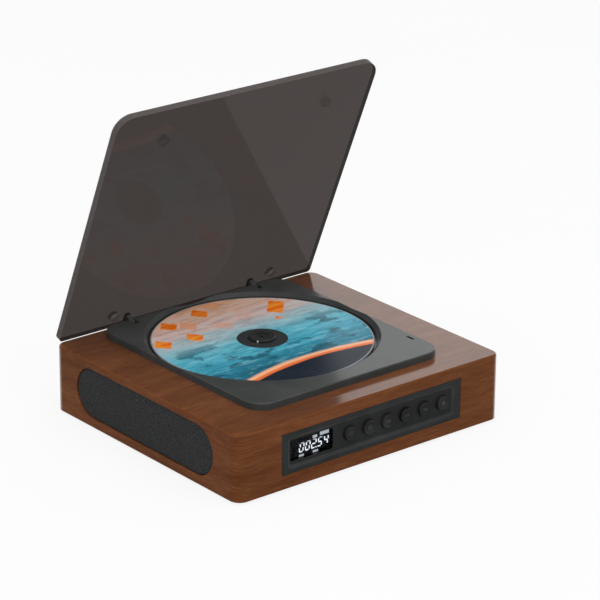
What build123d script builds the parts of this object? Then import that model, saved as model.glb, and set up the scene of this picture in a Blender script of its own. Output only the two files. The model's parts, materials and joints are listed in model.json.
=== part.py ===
"""Wood-cased disc player for a shelf or a wall, with a tilting acrylic lid.

Millimetres, +Z up. X runs to the right of someone facing the controls and Y runs to the
rear. The origin lies under the middle of the case, on the plane that the feet stand on.
The lid is modelled open, the disc is on its hub and the pickup is at its inner stop.
"""
import os
from math import acos, asin, cos, degrees, pi, radians, sin, sqrt, tan

from build123d import *

# Case
FOOT_H = 1.2            # how far the feet lift the case
CASE_W = 178.0
CASE_D = 158.0
CASE_H = 37.0
CORNER_R = 6.0          # upright corners of the case
TOP_ROUND = 1.2         # rounding of the case's upper edges
WALL = 6.0              # side walls
TOP_T = 5.0             # top panel
BLOCK = 12.0            # square blocks in the four inner corners
BASE_T = 3.0            # base cover
BASE_LEDGE = 2.0        # width of the rebate that the base cover lies in
SLIP = 0.2              # clearance of an inserted piece, each side
TOUCH = 0.05            # clearance of pieces that are held together

# Feet, hangers and base screws
FOOT_R = 5.0
FOOT_SINK = 1.0         # how deep a foot is let into the base cover
FOOT_INSET = 24.0       # foot centre from the outer faces of the case
KEY_SPACING = 116.0     # between the two keyholes
KEY_Y = 42.0            # the keyholes' wide holes
KEY_HEAD_R = 4.6
KEY_NECK_R = 2.3
KEY_RUN = 9.0           # from the wide hole's centre to the neck's end centre
HANGER_T = 1.5
HANGER_W = 18.0
HANGER_L = 30.0
RIVET_R = 1.5
SCREW_R = 1.45          # shanks of the small screws
SCREW_HEAD_R = 2.8
SCREW_HEAD_T = 1.6

# Deck plate: a raised moulding let into the top panel, with the disc's well
DECK_HALF_W = 63.0      # from the spindle to the left and right edges
DECK_REAR = 62.0        # from the spindle to the rear edge
DECK_FRONT = 75.2       # from the spindle to the front edge
DECK_H = 4.0            # over the top panel
DECK_SINK = 2.2         # depth of the pocket that the deck is let into
DECK_LIP = 0.4          # edge that covers the joint with the pocket
DECK_R = 11.0
DECK_EDGE = 0.5         # chamfer round the deck's top edge
SPINDLE_Y = 12.7
WELL_R = 63.6           # mouth of the well, which breaks the rear edge and both sides
WELL_LOW_R = 61.55      # foot of its sloping wall
WELL_STEP = 1.9         # foot of the slope over the top panel
FLOOR_T = 1.6           # floor of the well
OPENING_R = 57.5        # opening in the top panel
OPENING_HALF_W = 45.0   # its straight part, in front of the spindle
OPENING_FRONT = 69.0    # from the spindle to the opening's front edge
DECK_BOSS_R = 3.0
DECK_BOSS_X = 54.0
DECK_BOSS_REAR = 54.5   # boss centres from the spindle
DECK_BOSS_FRONT = 66.5
NOTCH_RIM = 1.6         # rim left at the finger notches in the left and right edges
NOTCH_FLAT = 12.0       # level part of a notch
NOTCH_RAMP = 11.0       # each curved end
SENSE_X = 58.9          # window of the lid sensor
SENSE_Y = -40.0
SENSE_W = 1.6
SENSE_L = 5.4
SENSE_SHOULDER = 0.6    # housing beyond its window, each side
SENSE_GAP = 0.3
SENSE_H = 2.0           # housing over the top panel
SENSE_TOP = 3.0         # its lens over the top panel

# Disc, platter and spindle
DISC_R = 60.0
DISC_T = 1.2
DISC_HOLE_R = 7.5
DISC_RISE = 0.6         # underside of the disc over the top panel
PLATTER_R = 14.0
PLATTER_T = 1.6
PLATTER_GAP = 1.5       # round the platter in the deck's floor
HUB_R = 7.35
HUB_OVER_DISC = 1.8
BALL_R = 1.0
BALL_COUNT = 3
SHAFT_R = 1.0
SHAFT_FIT = 0.05
MOTOR_R = 11.0
MOTOR_H = 10.0
MOTOR_FLANGE_R = 12.5

# Pickup mechanism, hung under the deck on four rubber mounts
CHASSIS_LEVEL = 18.0    # underside of the chassis over the case's lower edge
CHASSIS_T = 2.0
CHASSIS_X0, CHASSIS_X1 = -45.0, 49.0
CHASSIS_FRONT = 72.0    # from the spindle
CHASSIS_REAR = 35.0
MOUNT_X = 36.0          # rubber mounts
MOUNT_REAR = 26.5       # from the spindle
MOUNT_FRONT = 57.5
MOUNT_WAIST_R = 3.4
MOUNT_LIP_R = 4.6
MOUNT_LIP = 1.5
MOUNT_BOSS_R = 3.6
READ_IN = 24.0          # lens from the spindle at the inner stop
TRAVEL = 33.0           # of the pickup
ROD_R = 1.5
ROD_X = 19.0
ROD_LEVEL = 28.0
ROD_FIT = 0.05
SLED_T0, SLED_T1 = 24.8, 31.2
SLED_REAR = 9.0         # sled's rear and front ends from the lens
SLED_FRONT = 11.0
TURRET_HALF_W = 8.0
TURRET_HALF_L = 5.5
TURRET_TOP = 35.0
LENS_R = 2.6
SLOT_GAP = 1.2          # round the turret in the deck's slot

# Gear train: motor pinion, compound gear, rack
RACK_MOD = 0.8
RACK_TEETH = 14         # of the small wheel that drives the rack
TRAIN_MOD = 0.6
BIG_TEETH = 36
PINION_TEETH = 12
PRESSURE = 20.0
ADDENDUM = 0.72         # in modules: short teeth that clear their mates' roots
DEDENDUM = 1.0
BACKLASH = 0.10
RACK_X = 26.0           # pitch line of the rack
GEAR_BACK = 31.5        # gear axle in front of the spindle
TRAIN_ANGLE = -45.0     # motor pinion seen from the gear's axle
GEAR_FACE = 2.4
SMALL_FACE = 3.6
GEAR_LIFT = 0.6         # compound gear over the chassis
SMALL_LEVEL = 25.8
AXLE_R = 1.0
SLED_MOTOR_R = 6.0
SLED_MOTOR_H = 8.0

# Lid
LID_W = 172.8
LID_L = 150.2
LID_T = 4.4
LID_R = 10.0            # free corners
LID_REAR_R = 2.0
LID_EDGE = 0.6
LID_OPEN = 67.3         # degrees from closed
BUMPER_T = 2.2
BUMPER_GAP = 0.1
BUMPER_R = 3.0
BUMPER_X = 54.0
HINGE_X = 42.4
HINGE_UP = 2.1          # pin over the top panel
HINGE_IN = 1.8          # pin in front of the deck's rear edge
LID_BEHIND = 3.7        # closed lid's rear edge behind the pin
PIN_R = 0.8
PIN_FIT = 0.05
PIN_L = 11.0
LUG_T = 3.0
LUG_R = 1.7
LUG_L = 5.2             # lug where it meets the lid
TENON = 2.0
LUG_SIDE = 0.3          # between lug and slot
SLOT_L = 7.5            # hinge slot, from the deck's rear edge

# Front panel, display and buttons
PANEL_W = 120.8
PANEL_H = 22.4
PANEL_Z = 19.0          # panel's centre over the case's lower edge
DISH_W = 113.2          # dished part of the panel's face
DISH_H = 18.0
DISH_DROP = 0.2         # dish's centre below the panel's centre
DISH_SLOPE = 2.0
DISH_DEEP = 1.2
DISH_R = 3.4
FACE_T = 2.2
PANEL_DEPTH = 7.5
PANEL_FLANGE_T = 1.5
PANEL_FLANGE = 4.4
PANEL_FLANGE_Z = 1.6    # flange over and under the panel
WINDOW_X = -40.1
WINDOW_Z = 19.25
WINDOW_W = 28.0
WINDOW_H = 11.6
WINDOW_T = 1.8
MODULE_T = 3.9
DIGIT_W = 2.4           # between the middles of a digit's upright strokes
DIGIT_H = 4.6           # between the middles of its top and bottom strokes
DIGIT_STROKE = 0.5
DIGIT_GAP = 0.1         # between strokes that meet
DIGIT_PITCH = 4.0
DIGIT_LEAN = 14.0       # degrees
DIGITS_LEFT = 5.05      # first digit's middle, left of the window's middle
DIGITS_DROP = 0.75      # digits' middle under the window's middle
LIT_T = 0.28
BUTTON_X = -15.0        # first button
BUTTON_Z = 19.05
BUTTON_PITCH = 12.65
BUTTON_R = 3.9
BUTTON_GAP = 0.25
BUTTON_PROUD = 1.8      # over the dish's floor
BUTTON_FLANGE = 0.9
BUTTON_FLANGE_T = 0.8
BUTTON_TRAVEL = 0.6
BUTTON_EDGE = 0.3       # chamfer of the rim's outer edge
BUTTON_RIM = 0.9        # from the outer edge to the dish
BUTTON_DISH = 0.35
BUTTON_BEHIND = 0.2     # flange behind the panel's face
SWITCH_SIZE = 6.0
SWITCH_T = 2.0
PLUNGER_R = 1.7
PLUNGER_T = 0.5
BOARD_T = 1.6
BUTTON_NAMES = ("power", "mode", "previous", "play", "next", "stop")

# Speakers
GRILLE_L = 118.0
GRILLE_H = 28.0
GRILLE_Z = 19.0
GRILLE_DEEP = 3.2       # pocket in the side wall
CLOTH_T = 0.5
CLOTH_SET = 0.6         # cloth below the wood's face
SOUND_L = 92.0          # hole through the wall behind the grille
SOUND_H = 20.0
BASKET_L = 104.0
BASKET_H = 25.0
BASKET_FLANGE = 1.5
BASKET_DEEP = 9.0
BASKET_CUP = 4.5        # depth of the straight part
BASKET_CUP_H = 22.0
BASKET_WALL = 1.5
BACK_L = 58.0
BACK_H = 19.0
BASKET_WINDOW = 12.0    # windows in the tapered back
WINDOW_Y = 32.0
CONE_SET = 1.0          # rim of the cone inside the wall's inner face
CONE_DEEP = 5.0
CONE_T = 1.0
CONE_GAP = 0.6
NECK_L = 52.0
NECK_H = 8.0
MAGNET_R = 9.0
MAGNET_T = 5.0
SPEAKER_SCREW_Y = 48.8
SPEAKER_SCREW_R = 0.8

# Electronics
MAIN_W = 92.0
MAIN_L = 36.8
MAIN_BACK = 2.2         # rear edge of the board from the wall
MAIN_HOLE = 4.0         # its screws from its edges
VENT_L = 22.0           # cooling slots under the board
VENT_W = 2.4
VENT_PITCH = 7.0
VENT_COUNT = 9
RIB_T = 1.6             # ribs on the base cover
RIB_H = 3.0
SIDE_RIB = 9.0          # rib inside the line of the corner blocks
MAIN_LEVEL = 8.0
CELL_W = 35.0
CELL_L = 58.0
CELL_T = 8.5
CELL_GAP = 1.0
TRAY_WALL = 1.2
TRAY_X = -9.5
TRAY_Y = -12.0
PORT_W = 54.0
PORT_H = 13.0
PORT_LEVEL = 12.5
PORT_FLANGE = 3.0
USB_X, JACK_X, KNOB_X = -16.0, 0.0, 16.0
USB_W, USB_H = 8.94, 3.26
JACK_R = 3.0
JACK_BORE_R = 1.8
JACK_SET = 0.2          # jack's mouth below the rear face
JACK_DEEP = 7.0         # bore, inwards from the wall's inner face
KNOB_TRAVEL = 3.0
KNOB_W = 3.0
KNOB_H = 2.4

# Derived levels and places
Z0 = FOOT_H
TOP = Z0 + CASE_H                       # upper face of the wooden top panel
UNDER = TOP - TOP_T
HX, HY = CASE_W / 2, CASE_D / 2
IX, IY = HX - WALL, HY - WALL           # inner faces of the walls
DECK_TOP = TOP + DECK_H
DECK_Y0, DECK_Y1 = SPINDLE_Y - DECK_FRONT, SPINDLE_Y + DECK_REAR
FLOOR_UNDER = TOP - DECK_SINK
WELL_FLOOR = FLOOR_UNDER + FLOOR_T
DISC_Z0 = TOP + DISC_RISE
DISC_Z1 = DISC_Z0 + DISC_T
PLATTER_Z0 = DISC_Z0 - PLATTER_T
CHASSIS_Z0 = Z0 + CHASSIS_LEVEL
CHASSIS_Z1 = CHASSIS_Z0 + CHASSIS_T
ROD_Z = Z0 + ROD_LEVEL
LENS_Y = SPINDLE_Y - READ_IN
SLED_Z0, SLED_Z1 = Z0 + SLED_T0, Z0 + SLED_T1
TURRET_Z1 = Z0 + TURRET_TOP
RACK_R = RACK_MOD * RACK_TEETH / 2
BIG_R = TRAIN_MOD * BIG_TEETH / 2
PINION_R = TRAIN_MOD * PINION_TEETH / 2
GEAR_X, GEAR_Y = RACK_X + RACK_R, SPINDLE_Y - GEAR_BACK
TRAIN_C = BIG_R + PINION_R
PINION_X = GEAR_X + TRAIN_C * cos(radians(TRAIN_ANGLE))
PINION_Y = GEAR_Y + TRAIN_C * sin(radians(TRAIN_ANGLE))
GEAR_Z0 = CHASSIS_Z1 + GEAR_LIFT
SMALL_Z0 = Z0 + SMALL_LEVEL
HINGE_Y, HINGE_Z = DECK_Y1 - HINGE_IN, TOP + HINGE_UP
LID_Z0 = DECK_TOP + BUMPER_GAP + BUMPER_T
LID_Z1 = LID_Z0 + LID_T
LID_Y1 = HINGE_Y + LID_BEHIND
LID_Y0 = LID_Y1 - LID_L
PANEL_CZ = Z0 + PANEL_Z
PANEL_Y0 = -HY
DISH_Y = PANEL_Y0 + DISH_DEEP
FACE_BACK = DISH_Y + FACE_T
PANEL_Y1 = PANEL_Y0 + PANEL_DEPTH
BUTTON_CZ = Z0 + BUTTON_Z
WINDOW_CZ = Z0 + WINDOW_Z
GRILLE_CZ = Z0 + GRILLE_Z
BASE_Z1 = Z0 + BASE_T
MAIN_Y1 = IY - MAIN_BACK
MAIN_Y0 = MAIN_Y1 - MAIN_L
MAIN_Z0 = Z0 + MAIN_LEVEL
MAIN_Z1 = MAIN_Z0 + BOARD_T
PORT_CZ = Z0 + PORT_LEVEL


def block(x0, x1, y0, y1, z0, z1):
    """A box from its limits."""
    return Pos((x0 + x1) / 2, (y0 + y1) / 2, (z0 + z1) / 2) * Box(x1 - x0, y1 - y0, z1 - z0)


def rod(r, x, y, z0, z1):
    """An upright cylinder."""
    return Pos(x, y, (z0 + z1) / 2) * Cylinder(r, z1 - z0)


def rod_x(r, x0, x1, y, z):
    return Pos((x0 + x1) / 2, y, z) * Rot(0, 90, 0) * Cylinder(r, x1 - x0)


def rod_y(r, x, y0, y1, z):
    return Pos(x, (y0 + y1) / 2, z) * Rot(90, 0, 0) * Cylinder(r, y1 - y0)


def slab(x0, x1, y0, y1, z0, z1, r):
    """A plate with rounded upright corners."""
    face = Pos((x0 + x1) / 2, (y0 + y1) / 2, z0) * RectangleRounded(x1 - x0, y1 - y0, r)
    return extrude(face, amount=z1 - z0)


def on_front(y, z):
    """Plane that looks out of the front: local x to the right, local y up."""
    return Plane(origin=(0, y, z), x_dir=(1, 0, 0), z_dir=(0, -1, 0))


def on_side(x, z):
    """Plane on a side wall: local x to the rear, local y up, normal to the right."""
    return Plane(origin=(x, 0, z), x_dir=(0, 1, 0), z_dir=(1, 0, 0))


def oval(side, x_out, depth, length, height):
    """A prism with round ends let into a side wall from x_out inwards; side is -1 or 1."""
    x0 = side * x_out if side < 0 else x_out - depth
    return extrude(on_side(x0, GRILLE_CZ) * SlotOverall(length, height), amount=depth)


def turned(points, x, y):
    """A solid of revolution about an upright axis from (radius, z) points."""
    face = Plane.XZ * make_face(Polyline(points, close=True))
    return Pos(x, y, 0) * revolve(face, Axis.Z)


def screw_up(x, y, z, head_r, head_t, shank_r, shank_l):
    """A pan-head screw driven upwards: its head's bearing face is at z."""
    head = rod(head_r, x, y, z - head_t, z)
    head = chamfer(head.edges().group_by(Axis.Z)[0], head_t * 0.35)
    socket = rod(head_r * 0.45, x, y, z - head_t - 1, z - head_t * 0.45)
    return head + rod(shank_r, x, y, z, z + shank_l) - socket


def group(solids):
    return Compound(children=[s if isinstance(s, Solid) else s.solid() for s in solids])


def corners(dx, y0, y1):
    return [(sx * dx, y) for sx in (-1, 1) for y in (y0, y1)]


DECK_BOSSES = corners(DECK_BOSS_X, SPINDLE_Y - DECK_BOSS_FRONT, SPINDLE_Y + DECK_BOSS_REAR)
MOUNTS = corners(MOUNT_X, SPINDLE_Y - MOUNT_FRONT, SPINDLE_Y + MOUNT_REAR)
BASE_SCREWS = corners(HX - WALL - BLOCK / 2, -IY + BLOCK / 2, IY - BLOCK / 2)
BOARD_HOLES = corners(MAIN_W / 2 - MAIN_HOLE, MAIN_Y0 + MAIN_HOLE, MAIN_Y1 - MAIN_HOLE)
FEET = corners(HX - FOOT_INSET, -HY + FOOT_INSET, HY - FOOT_INSET)
PANEL_FLANGE_X = PANEL_W / 2 + PANEL_FLANGE
PANEL_SCREWS = [(sx * (PANEL_W / 2 + PANEL_FLANGE / 2 + SLIP), PANEL_CZ + sz * PANEL_H / 4)
                for sx in (-1, 1) for sz in (-1, 1)]
BUTTONS = [BUTTON_X + i * BUTTON_PITCH for i in range(len(BUTTON_NAMES))]


# ---------------------------------------------------------------- gear profiles

def involute_gear(module, teeth, z0, face, bore, turn):
    """A spur gear about Z with one tooth centred at `turn` degrees."""
    rp, rb = module * teeth / 2, module * teeth / 2 * cos(radians(PRESSURE))
    ra, rf = rp + ADDENDUM * module, rp - DEDENDUM * module
    inv = tan(radians(PRESSURE)) - radians(PRESSURE)
    half = pi / (2 * teeth) - BACKLASH / (4 * rp) + inv
    start = max(rb, rf)
    radii = [start + (ra - start) * i / 4 for i in range(5)]
    points = []
    for k in range(teeth):
        mid = radians(turn) + 2 * pi * k / teeth
        flank = []
        for r in radii:
            a = acos(min(1.0, rb / r))
            flank.append((r, half - (tan(a) - a)))
        root = (rf, flank[0][1]) if rf < start - 0.01 else None
        side = ([root] if root else []) + flank
        points += [(r, mid - w) for r, w in side] + [(r, mid + w) for r, w in reversed(side)]
    wire = Polyline([(r * cos(a), r * sin(a)) for r, a in points], close=True)
    gear = extrude(Pos(0, 0, z0) * make_face(wire), amount=face)
    return gear - rod(bore, 0, 0, z0 - 1, z0 + face + 1) if bore else gear


def rack_teeth(x_pitch, y0, y1, y_gap, z0, face, back):
    """A rack along Y with its teeth towards +X and the middle of a gap at y_gap."""
    pitch = pi * RACK_MOD
    tip, root = x_pitch + ADDENDUM * RACK_MOD, x_pitch - DEDENDUM * RACK_MOD
    lean = tan(radians(PRESSURE))
    half_tip = pitch / 4 - BACKLASH / 4 - ADDENDUM * RACK_MOD * lean
    half_root = pitch / 4 - BACKLASH / 4 + DEDENDUM * RACK_MOD * lean
    points = [(back, y0), (root, y0)]
    k = int((y0 + half_root - y_gap) / pitch) - 1
    while y_gap + (k + 0.5) * pitch + half_root < y1:
        mid = y_gap + (k + 0.5) * pitch
        if mid - half_root > y0:
            points += [(root, mid - half_root), (tip, mid - half_tip),
                       (tip, mid + half_tip), (root, mid + half_root)]
        k += 1
    points += [(root, y1), (back, y1)]
    return extrude(Pos(0, 0, z0) * make_face(Polyline(points, close=True)), amount=face)


# ---------------------------------------------------------------- case

def deck_opening(z0, z1):
    """The opening of the top panel: round behind the spindle, straight-sided in front."""
    w = OPENING_HALF_W
    front = slab(-w, w, SPINDLE_Y - OPENING_FRONT, SPINDLE_Y, z0, z1, 4.0)
    return rod(OPENING_R, 0, SPINDLE_Y, z0, z1) + front


def deck_body(inset, z0, z1):
    """The deck's outline, moved in by inset."""
    w = DECK_HALF_W - inset
    return slab(-w, w, DECK_Y0 + inset, DECK_Y1 - inset, z0, z1, DECK_R - inset)


def cabinet_shell():
    """Veneered case: five panels, corner blocks, pockets and openings."""
    shell = slab(-HX, HX, -HY, HY, Z0, TOP, CORNER_R)
    shell = fillet(shell.edges().group_by(Axis.Z)[-1], TOP_ROUND)
    inside = block(-IX, IX, -IY, IY, Z0 - 1, UNDER)
    for sx in (-1, 1):
        for sy in (-1, 1):
            inside -= Pos(sx * (IX - BLOCK / 2), sy * (IY - BLOCK / 2), (Z0 + UNDER) / 2) * Box(
                BLOCK, BLOCK, UNDER - Z0 + 4)
    shell -= inside
    lx, ly = IX + BASE_LEDGE, IY + BASE_LEDGE
    shell -= slab(-lx, lx, -ly, ly, Z0 - 1, BASE_Z1, 2.0)
    shell -= deck_opening(UNDER - 1, TOP + 1)
    shell -= deck_body(DECK_LIP - SLIP, FLOOR_UNDER, TOP + 1)
    for x, y in DECK_BOSSES:
        shell -= rod(DECK_BOSS_R + SLIP, x, y, UNDER - 1, TOP + 1)
    for x, y in BASE_SCREWS:
        shell -= rod(SCREW_R + TOUCH, x, y, BASE_Z1 - 1, BASE_Z1 + 12)
    for side in (-1, 1):
        shell -= oval(side, HX, GRILLE_DEEP, GRILLE_L, GRILLE_H)
        shell -= oval(side, HX, WALL + 1, SOUND_L, SOUND_H)
        for y in (-SPEAKER_SCREW_Y, SPEAKER_SCREW_Y):
            shell -= rod_x(SPEAKER_SCREW_R + TOUCH, *sorted((side * (IX - 1), side * (IX + 2.2))),
                           y, GRILLE_CZ)
    w, h = PANEL_W / 2 + SLIP, PANEL_H / 2 + SLIP
    shell -= block(-w, w, -HY - 1, -IY + 1, PANEL_CZ - h, PANEL_CZ + h)
    shell -= block(-PANEL_FLANGE_X - SLIP, PANEL_FLANGE_X + SLIP, -IY, -IY + PANEL_DEPTH,
                   Z0, UNDER)
    for x, z in PANEL_SCREWS:
        shell -= rod_y(0.8 + TOUCH, x, -IY - 4, -IY + 1, z)
    w, h = PORT_W / 2 + SLIP, PORT_H / 2 + SLIP
    shell -= block(-w, w, IY - 1, HY + 1, PORT_CZ - h, PORT_CZ + h)
    return shell


def keyhole(x, z0, z1, grow=0.0):
    """Wide hole with a neck that runs to the rear."""
    neck_y = KEY_Y + KEY_RUN
    cut = rod(KEY_HEAD_R + grow, x, KEY_Y, z0, z1) + rod(KEY_NECK_R + grow, x, neck_y, z0, z1)
    r = KEY_NECK_R + grow
    return cut + block(x - r, x + r, KEY_Y, neck_y, z0, z1)


def base_cover():
    lx, ly = IX + BASE_LEDGE - SLIP, IY + BASE_LEDGE - SLIP
    base = slab(-lx, lx, -ly, ly, Z0, BASE_Z1, 2.0)
    for x, y in BASE_SCREWS:
        base -= rod(SCREW_R + SLIP, x, y, Z0 - 1, BASE_Z1 + 1)
        base -= rod(SCREW_HEAD_R + SLIP, x, y, Z0 - 1, Z0 + SCREW_HEAD_T + 0.2)
    for x, y in FEET:
        base -= rod(FOOT_R + TOUCH, x, y, Z0 - 1, Z0 + FOOT_SINK)
    for sx in (-1, 1):
        base -= keyhole(sx * KEY_SPACING / 2, Z0 - 1, BASE_Z1 + 1, 0.4)
    vent_y = (MAIN_Y0 + MAIN_Y1 - VENT_L) / 2
    for i in range(VENT_COUNT):
        x = (i - VENT_COUNT // 2) * VENT_PITCH - VENT_W / 2
        base -= slab(x, x + VENT_W, vent_y, vent_y + VENT_L, Z0 - 1, BASE_Z1 + 1, VENT_W * 0.45)
    for x, y in BOARD_HOLES:
        pillar = rod(2 * SCREW_R, x, y, BASE_Z1, MAIN_Z0)
        base += pillar - rod(SCREW_R + TOUCH, x, y, Z0 + BASE_T / 2, MAIN_Z0 + 1)
    for side in (-1, 1):
        x = side * (IX - BLOCK - SIDE_RIB)
        base += block(x - RIB_T / 2, x + RIB_T / 2, -IY + BLOCK, KEY_Y - HANGER_L, Z0 + RIB_T,
                      BASE_Z1 + RIB_H)
    return base


def base_screws():
    return group(screw_up(x, y, Z0 + SCREW_HEAD_T + 0.2, SCREW_HEAD_R, SCREW_HEAD_T,
                          SCREW_R, BASE_T + 8) for x, y in BASE_SCREWS)


def rubber_feet():
    feet = []
    for x, y in FEET:
        foot = rod(FOOT_R, x, y, 0, Z0 + FOOT_SINK)
        feet.append(chamfer(foot.edges().group_by(Axis.Z)[0], 0.5))
    return group(feet)


def hanger_rivet_places():
    return [(sx * KEY_SPACING / 2 + dx, KEY_Y + dy)
            for sx in (-1, 1) for dx, dy in ((-5.5, -9.0), (5.5, 12.0))]


def hanger_plates():
    """Steel plates with the keyholes, riveted on the inside of the base cover."""
    plates = []
    for sx in (-1, 1):
        x = sx * KEY_SPACING / 2
        plate = slab(x - HANGER_W / 2, x + HANGER_W / 2, KEY_Y - 12.5, KEY_Y - 12.5 + HANGER_L,
                     BASE_Z1, BASE_Z1 + HANGER_T, 2.0)
        plate -= keyhole(x, BASE_Z1 - 1, BASE_Z1 + HANGER_T + 1)
        for rx, ry in hanger_rivet_places():
            if abs(rx - x) < HANGER_W / 2:
                plate -= rod(RIVET_R + TOUCH, rx, ry, BASE_Z1 - 1, BASE_Z1 + HANGER_T + 1)
        plates.append(plate)
    return group(plates)


def hanger_rivets():
    rivets = []
    for x, y in hanger_rivet_places():
        z = BASE_Z1 + HANGER_T
        head = rod(2.6, x, y, z, z + 1.0)
        head = chamfer(head.edges().group_by(Axis.Z)[-1], 0.5)
        rivets.append(head + rod(RIVET_R, x, y, BASE_Z1, z))
    return group(rivets)


# ---------------------------------------------------------------- speakers

def grille_frame(side):
    """Moulded frame with upright slots that the cloth is stretched over."""
    x_out = HX - CLOTH_SET - CLOTH_T
    depth = GRILLE_DEEP - CLOTH_SET - CLOTH_T
    frame = oval(side, x_out, depth, GRILLE_L - 2 * SLIP, GRILLE_H - 2 * SLIP)
    for i in range(13):
        y = (i - 6) * 7.0
        slot = Pos(side * (x_out - depth / 2), y, GRILLE_CZ) * Box(depth + 2, 4.6, SOUND_H - 2)
        frame -= slot
    return frame


def grille_cloth(side):
    cloth = oval(side, HX - CLOTH_SET, CLOTH_T, GRILLE_L - 2 * SLIP, GRILLE_H - 2 * SLIP)
    return cloth


def racetrack(side, depth, length, height):
    """Round-ended outline on a plane `depth` inside the side wall's inner face."""
    return on_side(side * (IX - depth), GRILLE_CZ) * SlotOverall(length, height)


def speaker_frame(side):
    """Racetrack basket: flange on the wall, straight cup, tapered back with open windows."""
    frame = oval(side, IX, BASKET_FLANGE, BASKET_L, BASKET_H)
    frame += oval(side, IX, BASKET_CUP, SOUND_L, BASKET_CUP_H)
    frame += loft([racetrack(side, BASKET_CUP, SOUND_L, BASKET_CUP_H),
                   racetrack(side, BASKET_DEEP, BACK_L, BACK_H)])
    w = 2 * BASKET_WALL
    frame -= oval(side, IX + 0.5, BASKET_CUP, SOUND_L - w, BASKET_CUP_H - w)
    frame -= loft([racetrack(side, BASKET_CUP - 0.5, SOUND_L - w, BASKET_CUP_H - w),
                   racetrack(side, BASKET_DEEP - BASKET_WALL, BACK_L - w, BACK_H - w)])
    x = BASKET_CUP + 0.4
    for y in (-WINDOW_Y, WINDOW_Y):
        frame -= Pos(side * (IX - (x + BASKET_DEEP) / 2), y, GRILLE_CZ) * Box(
            BASKET_DEEP - x, BASKET_WINDOW, BASKET_H + 10)
    for y in (-SPEAKER_SCREW_Y, SPEAKER_SCREW_Y):
        frame -= rod_x(SPEAKER_SCREW_R + SLIP, *sorted((side * (IX - 4), side * (IX + 1))), y,
                       GRILLE_CZ)
    return frame


def speaker_cone(side):
    """Paper cone with its rolled rim, set in the basket's straight cup."""
    rim_l, rim_h = SOUND_L - 2 * BASKET_WALL - CONE_GAP, BASKET_CUP_H - 2 * BASKET_WALL - CONE_GAP
    outer = [racetrack(side, CONE_SET, rim_l, rim_h),
             racetrack(side, CONE_SET + CONE_DEEP, NECK_L, NECK_H)]
    inner = [racetrack(side, CONE_SET - 0.01, rim_l - 3, rim_h - 3),
             racetrack(side, CONE_SET + CONE_DEEP - CONE_T, NECK_L - 4, NECK_H - 3)]
    return loft(outer) - loft(inner)


def speaker_magnets():
    x = IX - BASKET_DEEP
    magnets = []
    for side in (-1, 1):
        body = rod_x(MAGNET_R, *sorted((side * (x - MAGNET_T), side * x)), 0, GRILLE_CZ)
        magnets.append(chamfer(body.edges().sort_by(Axis.X)[0 if side > 0 else -1], 0.6))
    return group(magnets)


def speaker_screws():
    screws = []
    for side in (-1, 1):
        for y in (-SPEAKER_SCREW_Y, SPEAKER_SCREW_Y):
            x = side * (IX - BASKET_FLANGE)
            head = rod_x(1.5, *sorted((x - side * 1.2, x)), y, GRILLE_CZ)
            shank = rod_x(SPEAKER_SCREW_R, *sorted((x, side * (IX + 2))), y, GRILLE_CZ)
            screws.append(head + shank)
    return group(screws)


# ---------------------------------------------------------------- front panel

def front_panel():
    """Black insert: a shallow dish with sloped sides, window, button holes and a flange."""
    face = on_front(PANEL_Y1, PANEL_CZ) * RectangleRounded(PANEL_W, PANEL_H, 0.6)
    panel = extrude(face, amount=PANEL_DEPTH)
    y_in = -IY
    flange = on_front(y_in + PANEL_FLANGE_T, PANEL_CZ) * RectangleRounded(
        PANEL_W + 2 * PANEL_FLANGE, PANEL_H + 2 * PANEL_FLANGE_Z, 2.0)
    panel += extrude(flange, amount=PANEL_FLANGE_T)
    mouth = on_front(PANEL_Y0 - 0.001, PANEL_CZ - DISH_DROP) * RectangleRounded(
        DISH_W, DISH_H, DISH_R)
    floor = on_front(DISH_Y, PANEL_CZ - DISH_DROP) * RectangleRounded(
        DISH_W - 2 * DISH_SLOPE, DISH_H - 2 * DISH_SLOPE, DISH_R - DISH_SLOPE)
    panel -= loft([floor, mouth])
    panel -= block(-PANEL_W / 2 + 2.4, PANEL_W / 2 - 2.4, FACE_BACK, PANEL_Y1 + 1,
                   PANEL_CZ - PANEL_H / 2 + 2.2, PANEL_CZ + PANEL_H / 2 - 2.2)
    hole = on_front(FACE_BACK + 1, WINDOW_CZ) * Pos(WINDOW_X, 0) * RectangleRounded(
        WINDOW_W, WINDOW_H, 1.2)
    panel -= extrude(hole, amount=FACE_T + 2)
    for x in BUTTONS:
        panel -= rod_y(BUTTON_R + BUTTON_GAP, x, DISH_Y - 1, FACE_BACK + 1, BUTTON_CZ)
    for x, z in PANEL_SCREWS:
        panel -= rod_y(1.0, x, -IY - 1, -IY + PANEL_FLANGE_T + 1, z)
    return panel


def panel_screws():
    screws = []
    for x, z in PANEL_SCREWS:
        y = -IY + PANEL_FLANGE_T
        screws.append(rod_y(1.6, x, y, y + 1.2, z) + rod_y(0.8, x, -IY - 3.5, y, z))
    return group(screws)


def display_window():
    face = on_front(DISH_Y + WINDOW_T, WINDOW_CZ) * Pos(WINDOW_X, 0) * RectangleRounded(
        WINDOW_W - 2 * TOUCH, WINDOW_H - 2 * TOUCH, 1.15)
    return extrude(face, amount=WINDOW_T)


def display_module():
    """Glass-fronted display on the back of the panel's face."""
    w, h = WINDOW_W / 2 + 1.4, WINDOW_H / 2 + 1.2
    body = block(WINDOW_X - w, WINDOW_X + w, FACE_BACK, FACE_BACK + MODULE_T - 1.2,
                 WINDOW_CZ - h, WINDOW_CZ + h)
    pins = block(WINDOW_X - 8, WINDOW_X + 8, FACE_BACK + MODULE_T - 1.2, FACE_BACK + MODULE_T,
                 WINDOW_CZ - 4, WINDOW_CZ + 4)
    return body + pins


SEGMENTS = {"0": "abcdef", "2": "abged", "4": "fgbc", "5": "afgcd"}
POINT_AFTER = 2         # digit that the point follows
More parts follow.
